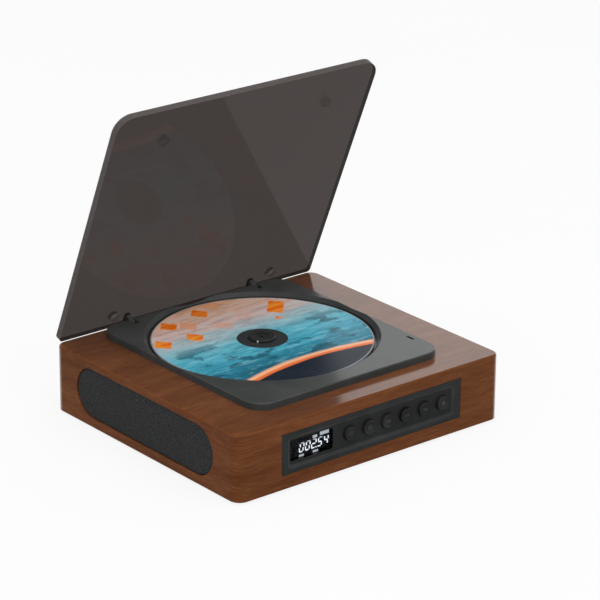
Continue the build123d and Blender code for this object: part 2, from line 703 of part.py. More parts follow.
# small marks: place of each row's middle from the window's, number of bars, and a bar's size
MARKS = ((9.9, 3.6, 4, 1.2, 1.7), (3.6, 3.1, 2, 1.2, 1.4), (-5.2, -5.1, 2, 1.4, 1.0),
         (4.0, -5.1, 3, 0.9, 1.0))
MARK_GAP = 0.3


def lit_bar(x, z, wide, high):
    y1 = FACE_BACK - TOUCH
    return block(x - wide / 2, x + wide / 2, y1 - LIT_T, y1, z - high / 2, z + high / 2)


def lit_digit(digit, x, z):
    """Strokes of one leaning seven-segment digit, lettered a to g as usual."""
    lean, long = tan(radians(DIGIT_LEAN)), DIGIT_W - DIGIT_STROKE - DIGIT_GAP
    strokes = []
    for s in SEGMENTS[digit]:
        if s in "agd":
            up = {"a": DIGIT_H / 2, "g": 0.0, "d": -DIGIT_H / 2}[s]
            strokes.append(lit_bar(x + up * lean, z + up, long, DIGIT_STROKE))
        else:
            side, half = (1 if s in "bc" else -1), (1 if s in "bf" else -1)
            up = half * DIGIT_H / 4
            strokes.append(lit_bar(x + side * DIGIT_W / 2 + up * lean, z + up, DIGIT_STROKE,
                                   DIGIT_H / 2 - DIGIT_STROKE - DIGIT_GAP))
    return strokes


def display_segments():
    """Lit segments: five digits with a point, and small marks over and under them."""
    z = WINDOW_CZ - DIGITS_DROP
    bars = []
    for i, digit in enumerate("00254"):
        bars += lit_digit(digit, WINDOW_X - DIGITS_LEFT + i * DIGIT_PITCH, z)
    point_x = WINDOW_X - DIGITS_LEFT + (POINT_AFTER + 0.5) * DIGIT_PITCH
    low = -DIGIT_H / 2
    bars.append(lit_bar(point_x + low * tan(radians(DIGIT_LEAN)), z + low, DIGIT_STROKE, DIGIT_STROKE))
    for dx, dz, count, wide, high in MARKS:
        first = WINDOW_X + dx - (count - 1) / 2 * (wide + MARK_GAP)
        bars += [lit_bar(first + i * (wide + MARK_GAP), WINDOW_CZ + dz, wide, high) for i in range(count)]
    return group(bars)


def button(x):
    """Round cap with a raised rim, a dished face and a flange that keeps it behind the panel."""
    y_face, y_flange = DISH_Y - BUTTON_PROUD, FACE_BACK + BUTTON_BEHIND
    cap = rod_y(BUTTON_R, x, y_face, y_flange, BUTTON_CZ)
    cap = chamfer(cap.edges().group_by(Axis.Y)[0], BUTTON_EDGE)
    wide, low = BUTTON_R - BUTTON_RIM, BUTTON_R - BUTTON_RIM - BUTTON_DISH
    dish = Cone(low, wide, BUTTON_DISH)
    cap -= Pos(x, y_face + BUTTON_DISH / 2, BUTTON_CZ) * Rot(90, 0, 0) * dish
    return cap + rod_y(BUTTON_R + BUTTON_FLANGE, x, y_flange, y_flange + BUTTON_FLANGE_T, BUTTON_CZ)


def control_board():
    board = block(-PANEL_W / 2 + 1, PANEL_W / 2 - 1, PANEL_Y1 + 0.1, PANEL_Y1 + 0.1 + BOARD_T,
                  PANEL_CZ - PANEL_H / 2 + 1, PANEL_CZ + PANEL_H / 2 - 1)
    plug = block(20, 34, PANEL_Y1 + 0.1 + BOARD_T, PANEL_Y1 + 4.6, PANEL_CZ - 8, PANEL_CZ - 4)
    return board + plug


def tact_switches():
    switches = []
    y1 = PANEL_Y1 + 0.1
    for x in BUTTONS:
        s = SWITCH_SIZE / 2
        body = block(x - s, x + s, y1 - SWITCH_T, y1, BUTTON_CZ - s, BUTTON_CZ + s)
        switches.append(body + rod_y(PLUNGER_R, x, y1 - SWITCH_T - PLUNGER_T, y1, BUTTON_CZ))
    return group(switches)


# ---------------------------------------------------------------- deck

def finger_notches():
    """Two scoops with S-shaped ends, cut through the side rims abreast of the spindle."""
    low, high = TOP + NOTCH_RIM, DECK_TOP + 0.01
    near, far = NOTCH_FLAT / 2, NOTCH_FLAT / 2 + NOTCH_RAMP
    mid = (near + far) / 2
    r = ((mid - near) ** 2 + ((high - low) / 2) ** 2) / (high - low)
    x0 = -DECK_HALF_W - 1
    plane = Plane(origin=(x0, SPINDLE_Y, 0), x_dir=(0, 1, 0), z_dir=(1, 0, 0))
    level = (low + high) / 2
    lift = r * (1 - cos(asin((mid - near) / 2 / r)))
    side = Line((-near, low), (near, low))
    rise = ThreePointArc((near, low), ((near + mid) / 2, low + lift), (mid, level))
    ease = ThreePointArc((mid, level), ((mid + far) / 2, high - lift), (far, high))
    top = Polyline((far, high), (far, high + 3), (-far, high + 3), (-far, high))
    ease_l = ThreePointArc((-far, high), (-(mid + far) / 2, high - lift), (-mid, level))
    rise_l = ThreePointArc((-mid, level), (-(near + mid) / 2, low + lift), (-near, low))
    profile = plane * make_face([side, rise, ease, top, ease_l, rise_l])
    return extrude(profile, amount=2 * DECK_HALF_W + 2)


def deck_plate():
    """Raised plate with the well, the pickup's slot, hinge slots, bosses and sensor window."""
    plate = deck_body(0, TOP, DECK_TOP)
    plate = chamfer(plate.edges().group_by(Axis.Z)[-1], DECK_EDGE)
    plate += deck_body(DECK_LIP, FLOOR_UNDER, TOP)
    slope = (WELL_R - WELL_LOW_R) / (DECK_H - WELL_STEP)
    plate -= turned([(0, WELL_FLOOR), (WELL_LOW_R, WELL_FLOOR), (WELL_LOW_R, TOP + WELL_STEP),
                     (WELL_R, DECK_TOP), (WELL_R + slope, DECK_TOP + 1), (0, DECK_TOP + 1)],
                    0, SPINDLE_Y)
    plate -= rod(PLATTER_R + PLATTER_GAP, 0, SPINDLE_Y, FLOOR_UNDER - 1, TOP + 1)
    w = TURRET_HALF_W + SLOT_GAP
    plate -= slab(-w, w, LENS_Y - TRAVEL - TURRET_HALF_L - SLOT_GAP, LENS_Y + TURRET_HALF_L
                  + SLOT_GAP, FLOOR_UNDER - 1, TOP, 2.0)
    plate -= finger_notches()
    for x, y in DECK_BOSSES:
        plate += rod(DECK_BOSS_R, x, y, UNDER, TOP + 1)
        plate -= rod(SCREW_R + TOUCH, x, y, UNDER - 1, TOP + 2.4)
    for x, y in MOUNTS:
        plate += rod(MOUNT_BOSS_R, x, y, CHASSIS_Z1 + MOUNT_LIP, FLOOR_UNDER + 0.5)
        plate -= rod(SCREW_R - 0.2 + TOUCH, x, y, CHASSIS_Z1, FLOOR_UNDER)
    for sx in (-1, 1):
        x, half = sx * HINGE_X, LUG_T / 2 + LUG_SIDE
        plate -= block(x - half, x + half, DECK_Y1 - SLOT_L, DECK_Y1 + 1, TOP - 0.1, DECK_TOP + 1)
        plate -= rod_x(PIN_R + 0.02, x - PIN_L / 2, x + PIN_L / 2, HINGE_Y, HINGE_Z)
    w, l = SENSE_W / 2, SENSE_L / 2
    plate -= block(SENSE_X - w, SENSE_X + w, SENSE_Y - l, SENSE_Y + l, TOP, DECK_TOP + 1)
    return plate - sensor_body(SENSE_GAP)


def deck_screws():
    """Screws with wide heads that clamp the deck to the top panel from inside."""
    return group(screw_up(x, y, UNDER, DECK_BOSS_R + 1.4, SCREW_HEAD_T, SCREW_R, TOP_T + 2)
                 for x, y in DECK_BOSSES)


def sensor_body(grow):
    """Housing of the lid sensor, on the pocket's floor. The deck's cavity has a clearance."""
    w, l = SENSE_W / 2 + SENSE_SHOULDER + grow, SENSE_L / 2 + SENSE_SHOULDER + grow
    return block(SENSE_X - w, SENSE_X + w, SENSE_Y - l, SENSE_Y + l, FLOOR_UNDER,
                 TOP + SENSE_H + grow)


def lid_sensor():
    w, l = SENSE_W / 2 - SLIP, SENSE_L / 2 - SLIP
    lens = block(SENSE_X - w, SENSE_X + w, SENSE_Y - l, SENSE_Y + l, TOP, TOP + SENSE_TOP)
    return sensor_body(0) + lens


# ---------------------------------------------------------------- mechanism

def mech_chassis():
    """Chassis plate with rod posts, motor seats, gear axle and lightening holes."""
    y0, y1 = SPINDLE_Y - CHASSIS_FRONT, SPINDLE_Y + CHASSIS_REAR
    plate = slab(CHASSIS_X0, CHASSIS_X1, y0, y1, CHASSIS_Z0, CHASSIS_Z1, 5.0)
    for x, y in MOUNTS:
        plate -= rod(MOUNT_WAIST_R, x, y, CHASSIS_Z0 - 1, CHASSIS_Z1 + 1)
    # open window under the sled, with a bridge at each end
    plate -= slab(-14, 14, LENS_Y - TRAVEL - 6, LENS_Y + 6, CHASSIS_Z0 - 1, CHASSIS_Z1 + 1, 3.0)
    rear_y = SPINDLE_Y + CHASSIS_REAR - 9
    for x in (-14.0, 14.0):
        plate -= slab(x - 8, x + 8, rear_y - 3, rear_y + 3, CHASSIS_Z0 - 1, CHASSIS_Z1 + 1, 2.5)
    # posts that hold the ends of the guide rods
    for x in (-ROD_X, ROD_X):
        for a, b in rod_posts():
            post = block(x - 2.5, x + 2.5, a, b, CHASSIS_Z1 - 0.5, ROD_Z + 2.8)
            plate += post - rod_y(ROD_R + ROD_FIT, x, a + 0.8 if a < -40 else a - 1,
                                  b + 1 if a < -40 else b - 0.8, ROD_Z)
    plate += rod(AXLE_R, GEAR_X, GEAR_Y, CHASSIS_Z0, SMALL_Z0 + SMALL_FACE + 0.8)
    plate += rod(2.2, GEAR_X, GEAR_Y, CHASSIS_Z0, GEAR_Z0 - 0.1)
    plate -= rod(2.2, PINION_X, PINION_Y, CHASSIS_Z0 - 1, CHASSIS_Z1 + 1)
    plate -= rod(SHAFT_R + 1.0, 0, SPINDLE_Y, CHASSIS_Z0 - 1, CHASSIS_Z1 + 1)
    return plate


def rod_posts():
    """Limits along Y of the front and rear posts."""
    front = LENS_Y - TRAVEL - SLED_FRONT - 0.3
    rear = LENS_Y + SLED_REAR + 0.3
    return ((front - 2.6, front), (rear, rear + 3.2))


def mech_dampers():
    rings = []
    for x, y in MOUNTS:
        z0, z1 = CHASSIS_Z0 - MOUNT_LIP, CHASSIS_Z1 + MOUNT_LIP
        ring = rod(MOUNT_WAIST_R - TOUCH, x, y, z0, z1)
        ring += rod(MOUNT_LIP_R, x, y, z0, CHASSIS_Z0) + rod(MOUNT_LIP_R, x, y, CHASSIS_Z1, z1)
        rings.append(ring - rod(SCREW_R + 0.15, x, y, z0 - 1, z1 + 1))
    return group(rings)


def mech_screws():
    screws = []
    for x, y in MOUNTS:
        z = CHASSIS_Z0 - MOUNT_LIP
        screw = screw_up(x, y, z, SCREW_HEAD_R + 0.6, SCREW_HEAD_T, SCREW_R,
                         CHASSIS_T + 2 * MOUNT_LIP)
        top = CHASSIS_Z1 + MOUNT_LIP
        screws.append(screw + rod(SCREW_R - 0.2, x, y, top, top + 7))
    return group(screws)


def spindle_motor():
    """Brushless motor: base flange, can and bearing tube."""
    motor = rod(MOTOR_FLANGE_R, 0, SPINDLE_Y, CHASSIS_Z1, CHASSIS_Z1 + 1.2)
    can = rod(MOTOR_R, 0, SPINDLE_Y, CHASSIS_Z1 + 1.2, CHASSIS_Z1 + MOTOR_H)
    can = chamfer(can.edges().group_by(Axis.Z)[-1], 0.8)
    tube = rod(3.2, 0, SPINDLE_Y, CHASSIS_Z1 + MOTOR_H - 1, PLATTER_Z0 - 1.2)
    bore = rod(SHAFT_R + SHAFT_FIT, 0, SPINDLE_Y, CHASSIS_Z1 + 2, PLATTER_Z0)
    return motor + can + tube - bore


def ball_centre(i):
    a = radians(90 + 360 / BALL_COUNT * i)
    r = DISC_HOLE_R - 0.05 - BALL_R
    return r * cos(a), SPINDLE_Y + r * sin(a), DISC_Z1 + 0.35, a


def spindle_hub():
    """Shaft, rubber-faced platter and centring hub with three ball pockets."""
    hub = rod(SHAFT_R, 0, SPINDLE_Y, CHASSIS_Z1 + 2.3, DISC_Z0)
    platter = rod(PLATTER_R, 0, SPINDLE_Y, PLATTER_Z0, DISC_Z0)
    platter = chamfer(platter.edges().group_by(Axis.Z)[0], 0.6)
    dome = rod(HUB_R, 0, SPINDLE_Y, DISC_Z0 - 0.5, DISC_Z1 + HUB_OVER_DISC)
    dome = chamfer(dome.edges().group_by(Axis.Z)[-1], 0.7)
    dome -= rod(3.4, 0, SPINDLE_Y, DISC_Z1 + HUB_OVER_DISC - 0.5, DISC_Z1 + HUB_OVER_DISC + 1)
    dome += rod(1.3, 0, SPINDLE_Y, DISC_Z0, DISC_Z1 + HUB_OVER_DISC)
    hub += platter + dome
    for i in range(BALL_COUNT):
        x, y, z, a = ball_centre(i)
        pocket = Pos(x, y, z) * Rot(0, 0, degrees(a)) * Rot(0, 90, 0) * Cylinder(
            BALL_R + 0.06, 5.0)
        hub -= pocket
    return hub


def clamp_balls():
    return group(Pos(*ball_centre(i)[:3]) * Sphere(BALL_R) for i in range(BALL_COUNT))


def disc():
    """Disc with a stacking ring moulded on its underside."""
    body = rod(DISC_R, 0, SPINDLE_Y, DISC_Z0, DISC_Z1)
    body = chamfer(body.edges(), 0.2)
    body -= rod(DISC_HOLE_R, 0, SPINDLE_Y, DISC_Z0 - 1, DISC_Z1 + 1)
    ring = rod(17.2, 0, SPINDLE_Y, DISC_Z0 - 0.2, DISC_Z0) - rod(
        16.6, 0, SPINDLE_Y, DISC_Z0 - 1, DISC_Z0 + 1)
    return body + ring


def guide_rods():
    (front, _), (_, rear) = rod_posts()
    return group(rod_y(ROD_R, x, front + 0.9, rear - 0.9, ROD_Z) for x in (-ROD_X, ROD_X))


def pickup_sled():
    """Carriage on two rods: bored on the left, forked on the right, with rack and turret."""
    y0, y1 = LENS_Y - SLED_FRONT, LENS_Y + SLED_REAR
    half = ROD_X - 4.5
    body = slab(-half, half, y0 + 1, y1 - 1, SLED_Z0, SLED_Z1 - 1.2, 2.0)
    turret = slab(-TURRET_HALF_W, TURRET_HALF_W, LENS_Y - TURRET_HALF_L, LENS_Y + TURRET_HALF_L,
                  SLED_Z0 + 1, TURRET_Z1, 1.5)
    body += fillet(turret.edges().group_by(Axis.Z)[-1], 0.5)
    body += block(-ROD_X - 3.2, -half + 1, y0, y1, ROD_Z - 3.0, ROD_Z + 3.0)
    body -= rod_y(ROD_R + ROD_FIT, -ROD_X, y0 - 1, y1 + 1, ROD_Z)
    body -= rod_y(ROD_R + 0.6, -ROD_X, LENS_Y - 4, LENS_Y + 3, ROD_Z)
    arm = block(half - 1, RACK_X - 2.6, y0 + 4, y1 - 3, ROD_Z - 3.0, ROD_Z + 3.0)
    arm -= block(ROD_X - ROD_R - 1.0, RACK_X, y0, y1, ROD_Z - ROD_R - ROD_FIT, ROD_Z + ROD_R
                 + ROD_FIT)
    body += arm
    body -= rod(4.6, 0, LENS_Y, TURRET_Z1 - 1.2, TURRET_Z1 + 1)
    rack_y0 = LENS_Y - 13.5
    rack_y1 = GEAR_Y + TRAVEL + 5.0
    rack = rack_teeth(RACK_X, rack_y0, rack_y1, GEAR_Y, SMALL_Z0, SMALL_FACE, RACK_X - 3.6)
    body += rack
    # web over the rod that joins the rack to the arm
    body += block(RACK_X - 3.6, RACK_X - 1.6, y0 + 4, y1 - 3, ROD_Z - 3.0, ROD_Z + 3.0)
    return body


def pickup_lens():
    """Lens in its holder, let into the turret."""
    holder = rod(4.5, 0, LENS_Y, TURRET_Z1 - 1.2, TURRET_Z1 + 0.2)
    dome_r = 4.0
    rise = dome_r - sqrt(dome_r ** 2 - LENS_R ** 2)
    dome = Pos(0, LENS_Y, TURRET_Z1 + 0.2 + rise - dome_r) * Sphere(dome_r)
    dome &= rod(LENS_R, 0, LENS_Y, TURRET_Z1, TURRET_Z1 + 3)
    return holder + dome


def sled_gear():
    """Compound gear: large wheel to the motor pinion, small wheel to the rack."""
    big = involute_gear(TRAIN_MOD, BIG_TEETH, GEAR_Z0, GEAR_FACE, 0, TRAIN_ANGLE)
    small = involute_gear(RACK_MOD, RACK_TEETH, SMALL_Z0, SMALL_FACE, 0, 180.0)
    neck = rod(RACK_R - RACK_MOD * 1.2, 0, 0, GEAR_Z0, SMALL_Z0 + SMALL_FACE)
    gear = Pos(GEAR_X, GEAR_Y, 0) * (big + neck + small)
    for i in range(4):
        a = radians(45 + 90 * i)
        gear -= rod(1.9, GEAR_X + 7.0 * cos(a), GEAR_Y + 7.0 * sin(a), GEAR_Z0 - 1,
                    GEAR_Z0 + GEAR_FACE + 0.5)
    return gear - rod(AXLE_R + SHAFT_FIT, GEAR_X, GEAR_Y, GEAR_Z0 - 1, SMALL_Z0 + SMALL_FACE + 1)


def sled_pinion():
    """Motor shaft with its pinion."""
    gap_turn = TRAIN_ANGLE + 180.0 + 180.0 / PINION_TEETH
    wheel = involute_gear(TRAIN_MOD, PINION_TEETH, GEAR_Z0, GEAR_FACE, 0, gap_turn)
    shaft = rod(0.75, 0, 0, CHASSIS_Z0 - SLED_MOTOR_H + 2, GEAR_Z0 + GEAR_FACE + 0.4)
    return Pos(PINION_X, PINION_Y, 0) * (wheel + shaft)


def sled_motor():
    can = rod(SLED_MOTOR_R, PINION_X, PINION_Y, CHASSIS_Z0 - SLED_MOTOR_H, CHASSIS_Z0)
    can = chamfer(can.edges().group_by(Axis.Z)[0], 0.6)
    can += rod(2.0, PINION_X, PINION_Y, CHASSIS_Z0, CHASSIS_Z0 + 1.2)
    return can - rod(0.75 + SHAFT_FIT, PINION_X, PINION_Y, CHASSIS_Z0 - SLED_MOTOR_H + 1.5,
                     CHASSIS_Z1 + 1)


# ---------------------------------------------------------------- lid

def opened(shape):
    """Swings a shape of the closed lid up to its open stop."""
    return shape.rotate(Axis((0, HINGE_Y, HINGE_Z), (1, 0, 0)), -LID_OPEN)


def lug_spots():
    return [sx * HINGE_X for sx in (-1, 1)]


def lug_span():
    """Limits along Y of a lug's top in the closed lid."""
    return LID_Y1 - 1.0 - LUG_L, LID_Y1 - 1.0


def lid():
    """Smoked sheet with rounded free corners and two pockets for the hinge lugs."""
    half = LID_W / 2
    sheet = block(-half, half, LID_Y0, LID_Y1, LID_Z0, LID_Z1)
    uprights = sheet.edges().filter_by(Axis.Z).group_by(Axis.Y)
    sheet = fillet(uprights[0], LID_R)
    rear = sheet.edges().filter_by(Axis.Z).group_by(Axis.Y)[-1]
    sheet = fillet(rear, LID_REAR_R)
    sheet = chamfer(sheet.edges().group_by(Axis.Z)[-1], LID_EDGE)
    y0, y1 = lug_span()
    for x in lug_spots():
        w = LUG_T / 2 + TOUCH
        sheet -= block(x - w, x + w, y0 - TOUCH, y1 + TOUCH, LID_Z0 - 1, LID_Z0 + TENON + TOUCH)
    return opened(sheet)


def hinge_lugs():
    """Lugs bonded in the lid that turn on the pins in the deck's slots."""
    y0, y1 = lug_span()
    lugs = []
    for x in lug_spots():
        plane = Plane(origin=(x - LUG_T / 2, 0, 0), x_dir=(0, 1, 0), z_dir=(1, 0, 0))
        web = Polyline((y0, LID_Z0 + TENON), (y1, LID_Z0 + TENON), (y1, LID_Z0),
                       (HINGE_Y + LUG_R * 0.9, HINGE_Z), (HINGE_Y - LUG_R * 0.9, HINGE_Z),
                       (y0, LID_Z0 - 0.5), close=True)
        lug = extrude(plane * make_face(web), amount=LUG_T)
        lug += rod_x(LUG_R, x - LUG_T / 2, x + LUG_T / 2, HINGE_Y, HINGE_Z)
        lug -= rod_x(PIN_R + PIN_FIT, x - LUG_T, x + LUG_T, HINGE_Y, HINGE_Z)
        lugs.append(opened(lug))
    return group(lugs)


def hinge_pins():
    return group(rod_x(PIN_R, x - PIN_L / 2 + 0.1, x + PIN_L / 2 - 0.1, HINGE_Y, HINGE_Z)
                 for x in lug_spots())


def lid_bumpers():
    dots = []
    for x, y in corners(BUMPER_X, SPINDLE_Y - DECK_BOSS_FRONT, SPINDLE_Y + DECK_BOSS_REAR):
        dots.append(opened(rod(BUMPER_R, x, y, LID_Z0 - BUMPER_T, LID_Z0)))
    return group(dots)


# ---------------------------------------------------------------- electronics

def main_board():
    board = slab(-MAIN_W / 2, MAIN_W / 2, MAIN_Y0, MAIN_Y1, MAIN_Z0, MAIN_Z1, 1.0)
    for x, y in BOARD_HOLES:
        board -= rod(SCREW_R + SLIP, x, y, MAIN_Z0 - 1, MAIN_Z1 + 1)
    return board


def board_screws():
    screws = []
    for x, y in BOARD_HOLES:
        head = rod(SCREW_HEAD_R, x, y, MAIN_Z1, MAIN_Z1 + SCREW_HEAD_T)
        screws.append(head + rod(SCREW_R, x, y, MAIN_Z0 - 5, MAIN_Z1))
    return group(screws)


# Width, length and height of what stands on the main board, and its centre from the board's
# middle line and front edge
BOARD_PARTS = {
    "processor": (12.0, 12.0, 1.4, -18.0, 18.0),
    "amplifier": (7.0, 7.0, 1.2, 11.5, 13.5),
    "radio": (14.0, 18.0, 2.2, 29.0, 15.0),
    "speaker_plug": (6.0, 14.0, 4.0, -35.0, 13.0),
    "panel_plug": (10.0, 4.0, 4.0, -1.0, 5.0),
}
CAPACITOR_R = 2.5
CAPACITOR_H = 6.0
CAPACITORS = ((-5.0, 16.0), (-5.0, 23.0), (16.0, 23.0))


def board_parts():
    """Processor, amplifier, radio module, plugs and capacitors on the main board."""
    parts = []
    for w, l, h, x, y in BOARD_PARTS.values():
        parts.append(block(x - w / 2, x + w / 2, MAIN_Y0 + y - l / 2, MAIN_Y0 + y + l / 2,
                           MAIN_Z1, MAIN_Z1 + h))
    parts += [rod(CAPACITOR_R, x, MAIN_Y0 + y, MAIN_Z1, MAIN_Z1 + CAPACITOR_H)
              for x, y in CAPACITORS]
    return group(parts)


def battery_tray():
    """Tray on the base cover for two flat cells, with a rib between them."""
    half_w = CELL_W + CELL_GAP / 2 + SLIP
    half_l = CELL_L / 2 + SLIP
    x0, x1 = TRAY_X - half_w, TRAY_X + half_w
    y0, y1 = TRAY_Y - half_l, TRAY_Y + half_l
    w = TRAY_WALL
    z1 = BASE_Z1 + w + 4.5
    tray = slab(x0 - w, x1 + w, y0 - w, y1 + w, BASE_Z1, z1, 1.5)
    tray -= block(x0, x1, y0, y1, BASE_Z1 + w, z1 + 1)
    rib = CELL_GAP / 2 - 0.15
    tray += block(TRAY_X - rib, TRAY_X + rib, y0 - w / 2, y1 + w / 2, BASE_Z1 + w / 2, z1)
    return tray


def battery_cells():
    cells = []
    z0 = BASE_Z1 + TRAY_WALL
    for side in (-1, 1):
        x = TRAY_X + side * (CELL_W + CELL_GAP) / 2
        cell = slab(x - CELL_W / 2, x + CELL_W / 2, TRAY_Y - CELL_L / 2, TRAY_Y + CELL_L / 2,
                    z0, z0 + CELL_T, 1.5)
        cells.append(cell)
    return group(cells)


def rear_port_plate():
    plane = Plane(origin=(0, HY, PORT_CZ), x_dir=(-1, 0, 0), z_dir=(0, 1, 0))
    plate = extrude(plane * RectangleRounded(PORT_W, PORT_H, 0.8), amount=-WALL)
    inner = Plane(origin=(0, IY, PORT_CZ), x_dir=(-1, 0, 0), z_dir=(0, 1, 0))
    plate += extrude(inner * RectangleRounded(PORT_W + 2 * PORT_FLANGE, PORT_H + 2 * 2.0, 1.5),
                     amount=-1.5)
    plate -= block(-PORT_W / 2 + 1.6, PORT_W / 2 - 1.6, IY - 3, HY - 1.8, PORT_CZ - PORT_H / 2
                   + 1.6, PORT_CZ + PORT_H / 2 - 1.6)
    usb = plane * Pos(-USB_X, 0) * RectangleRounded(USB_W + 0.5, USB_H + 0.5, 1.7)
    plate -= extrude(usb, amount=-3, both=True)
    plate -= rod_y(JACK_R + SLIP, JACK_X, HY - 3, HY + 1, PORT_CZ)
    half = KNOB_TRAVEL / 2 + KNOB_W / 2 + 0.3
    plate -= block(KNOB_X - half, KNOB_X + half, HY - 3, HY + 1, PORT_CZ - KNOB_H / 2 - 0.3,
                   PORT_CZ + KNOB_H / 2 + 0.3)
    return plate


def usb_c_port():
    """Metal shell of the charging socket, with its tongue, on a short riser."""
    plane = Plane(origin=(0, HY - 0.4, PORT_CZ), x_dir=(-1, 0, 0), z_dir=(0, 1, 0))
    outer = plane * Pos(-USB_X, 0) * RectangleRounded(USB_W, USB_H, 1.5)
    inner = plane * Pos(-USB_X, 0) * RectangleRounded(USB_W - 0.6, USB_H - 0.6, 1.25)
    shell = extrude(outer, amount=-12) - extrude(inner, amount=-6.2)
    shell += block(USB_X - 3.3, USB_X + 3.3, HY - 7.5, HY - 2.0, PORT_CZ - 0.35, PORT_CZ + 0.35)
    riser = block(USB_X - 4, USB_X + 4, HY - 12.4, HY - 9.0, MAIN_Z1, PORT_CZ - USB_H / 2 + 0.5)
    return shell + riser


def audio_jack():
    body = block(JACK_X - 3.2, JACK_X + 3.2, IY - 9.5, IY + 0.0, MAIN_Z1, PORT_CZ + 3.2)
    barrel = rod_y(JACK_R, JACK_X, IY - 2, HY - JACK_SET, PORT_CZ)
    return body + barrel - rod_y(JACK_BORE_R, JACK_X, IY - JACK_DEEP, HY + 1, PORT_CZ)


def power_switch_body():
    """Slide switch on the board's rear edge with a slot for its knob."""
    z0, z1 = MAIN_Z1, PORT_CZ + 2.6
    body = block(KNOB_X - 5.5, KNOB_X + 5.5, IY - 6.5, IY - 1.0, z0, z1)
    half = KNOB_TRAVEL / 2 + KNOB_W / 2 + 0.2
    return body - block(KNOB_X - half, KNOB_X + half, IY - 4.0, IY, PORT_CZ - KNOB_H / 2 - 0.1,
                        PORT_CZ + KNOB_H / 2 + 0.1)


def power_switch_knob():
    x = KNOB_X - KNOB_TRAVEL / 2
    h = KNOB_H / 2
    knob = block(x - KNOB_W / 2, x + KNOB_W / 2, IY - 3.8, HY + 0.8, PORT_CZ - h, PORT_CZ + h)
    for i in (-1, 0, 1):
        knob -= block(x + i * 0.8 - 0.15, x + i * 0.8 + 0.15, HY + 0.5, HY + 1, PORT_CZ - h - 1,
                      PORT_CZ + h + 1)
    return knob


def make():
    """Every node by name."""
    nodes = {
        "cabinet_shell": cabinet_shell(), "base_cover": base_cover(),
        "base_screws": base_screws(), "rubber_feet": rubber_feet(),
        "hanger_plates": hanger_plates(), "hanger_rivets": hanger_rivets(),
        "speaker_magnets": speaker_magnets(), "speaker_screws": speaker_screws(),
        "front_panel": front_panel(), "panel_screws": panel_screws(),
        "display_window": display_window(), "display_module": display_module(),
        "display_segments": display_segments(), "control_board": control_board(),
        "tact_switches": tact_switches(), "deck_plate": deck_plate(),
        "deck_screws": deck_screws(), "lid_sensor": lid_sensor(),
        "mech_chassis": mech_chassis(), "mech_dampers": mech_dampers(),
        "mech_screws": mech_screws(), "spindle_motor": spindle_motor(),
        "spindle_hub": spindle_hub(), "clamp_balls": clamp_balls(), "disc": disc(),
        "guide_rods": guide_rods(), "pickup_sled": pickup_sled(), "pickup_lens": pickup_lens(),
        "sled_gear": sled_gear(), "sled_pinion": sled_pinion(), "sled_motor": sled_motor(),
        "lid": lid(), "hinge_lugs": hinge_lugs(), "hinge_pins": hinge_pins(),
        "lid_bumpers": lid_bumpers(), "main_board": main_board(), "board_parts": board_parts(),
        "board_screws": board_screws(), "battery_tray": battery_tray(),
        "battery_cells": battery_cells(), "rear_port_plate": rear_port_plate(),
        "usb_c_port": usb_c_port(), "audio_jack": audio_jack(),
        "power_switch_body": power_switch_body(), "power_switch_knob": power_switch_knob(),
    }
    for side, word in ((-1, "left"), (1, "right")):
        nodes["grille_frame_" + word] = grille_frame(side)
        nodes["grille_cloth_" + word] = grille_cloth(side)
        nodes["speaker_frame_" + word] = speaker_frame(side)
        nodes["speaker_cone_" + word] = speaker_cone(side)
    for name, x in zip(BUTTON_NAMES, BUTTONS):
        nodes["button_" + name] = button(x)
    return nodes


os.makedirs("parts", exist_ok=True)
for node, shape in make().items():
    export_step(shape, f"parts/{node}.step")
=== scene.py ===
"""Looks of the wood-cased disc player: materials, print, symbols, cloth, stage, lamps and camera.

Metres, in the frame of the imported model. Nothing here changes the model's own solids.
"""
import json
from math import cos, pi, radians, sin

import bmesh
import bpy
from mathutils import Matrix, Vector


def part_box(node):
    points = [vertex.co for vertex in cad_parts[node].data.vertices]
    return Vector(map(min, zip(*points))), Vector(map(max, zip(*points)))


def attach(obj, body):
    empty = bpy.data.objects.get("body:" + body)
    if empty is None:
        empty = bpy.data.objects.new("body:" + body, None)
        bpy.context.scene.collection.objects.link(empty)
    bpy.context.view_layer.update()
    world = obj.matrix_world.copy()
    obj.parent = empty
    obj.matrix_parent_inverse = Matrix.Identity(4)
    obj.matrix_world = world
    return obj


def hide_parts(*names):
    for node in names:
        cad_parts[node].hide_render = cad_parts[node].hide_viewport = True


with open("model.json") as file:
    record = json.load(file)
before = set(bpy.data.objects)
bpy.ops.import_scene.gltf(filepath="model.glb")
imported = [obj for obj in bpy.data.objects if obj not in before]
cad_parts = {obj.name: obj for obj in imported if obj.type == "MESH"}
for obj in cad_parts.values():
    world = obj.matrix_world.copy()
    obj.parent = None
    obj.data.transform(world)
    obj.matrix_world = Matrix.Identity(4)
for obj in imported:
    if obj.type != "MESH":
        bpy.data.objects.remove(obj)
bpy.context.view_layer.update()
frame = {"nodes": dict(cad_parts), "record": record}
nodes = frame["nodes"]
MM = 0.001

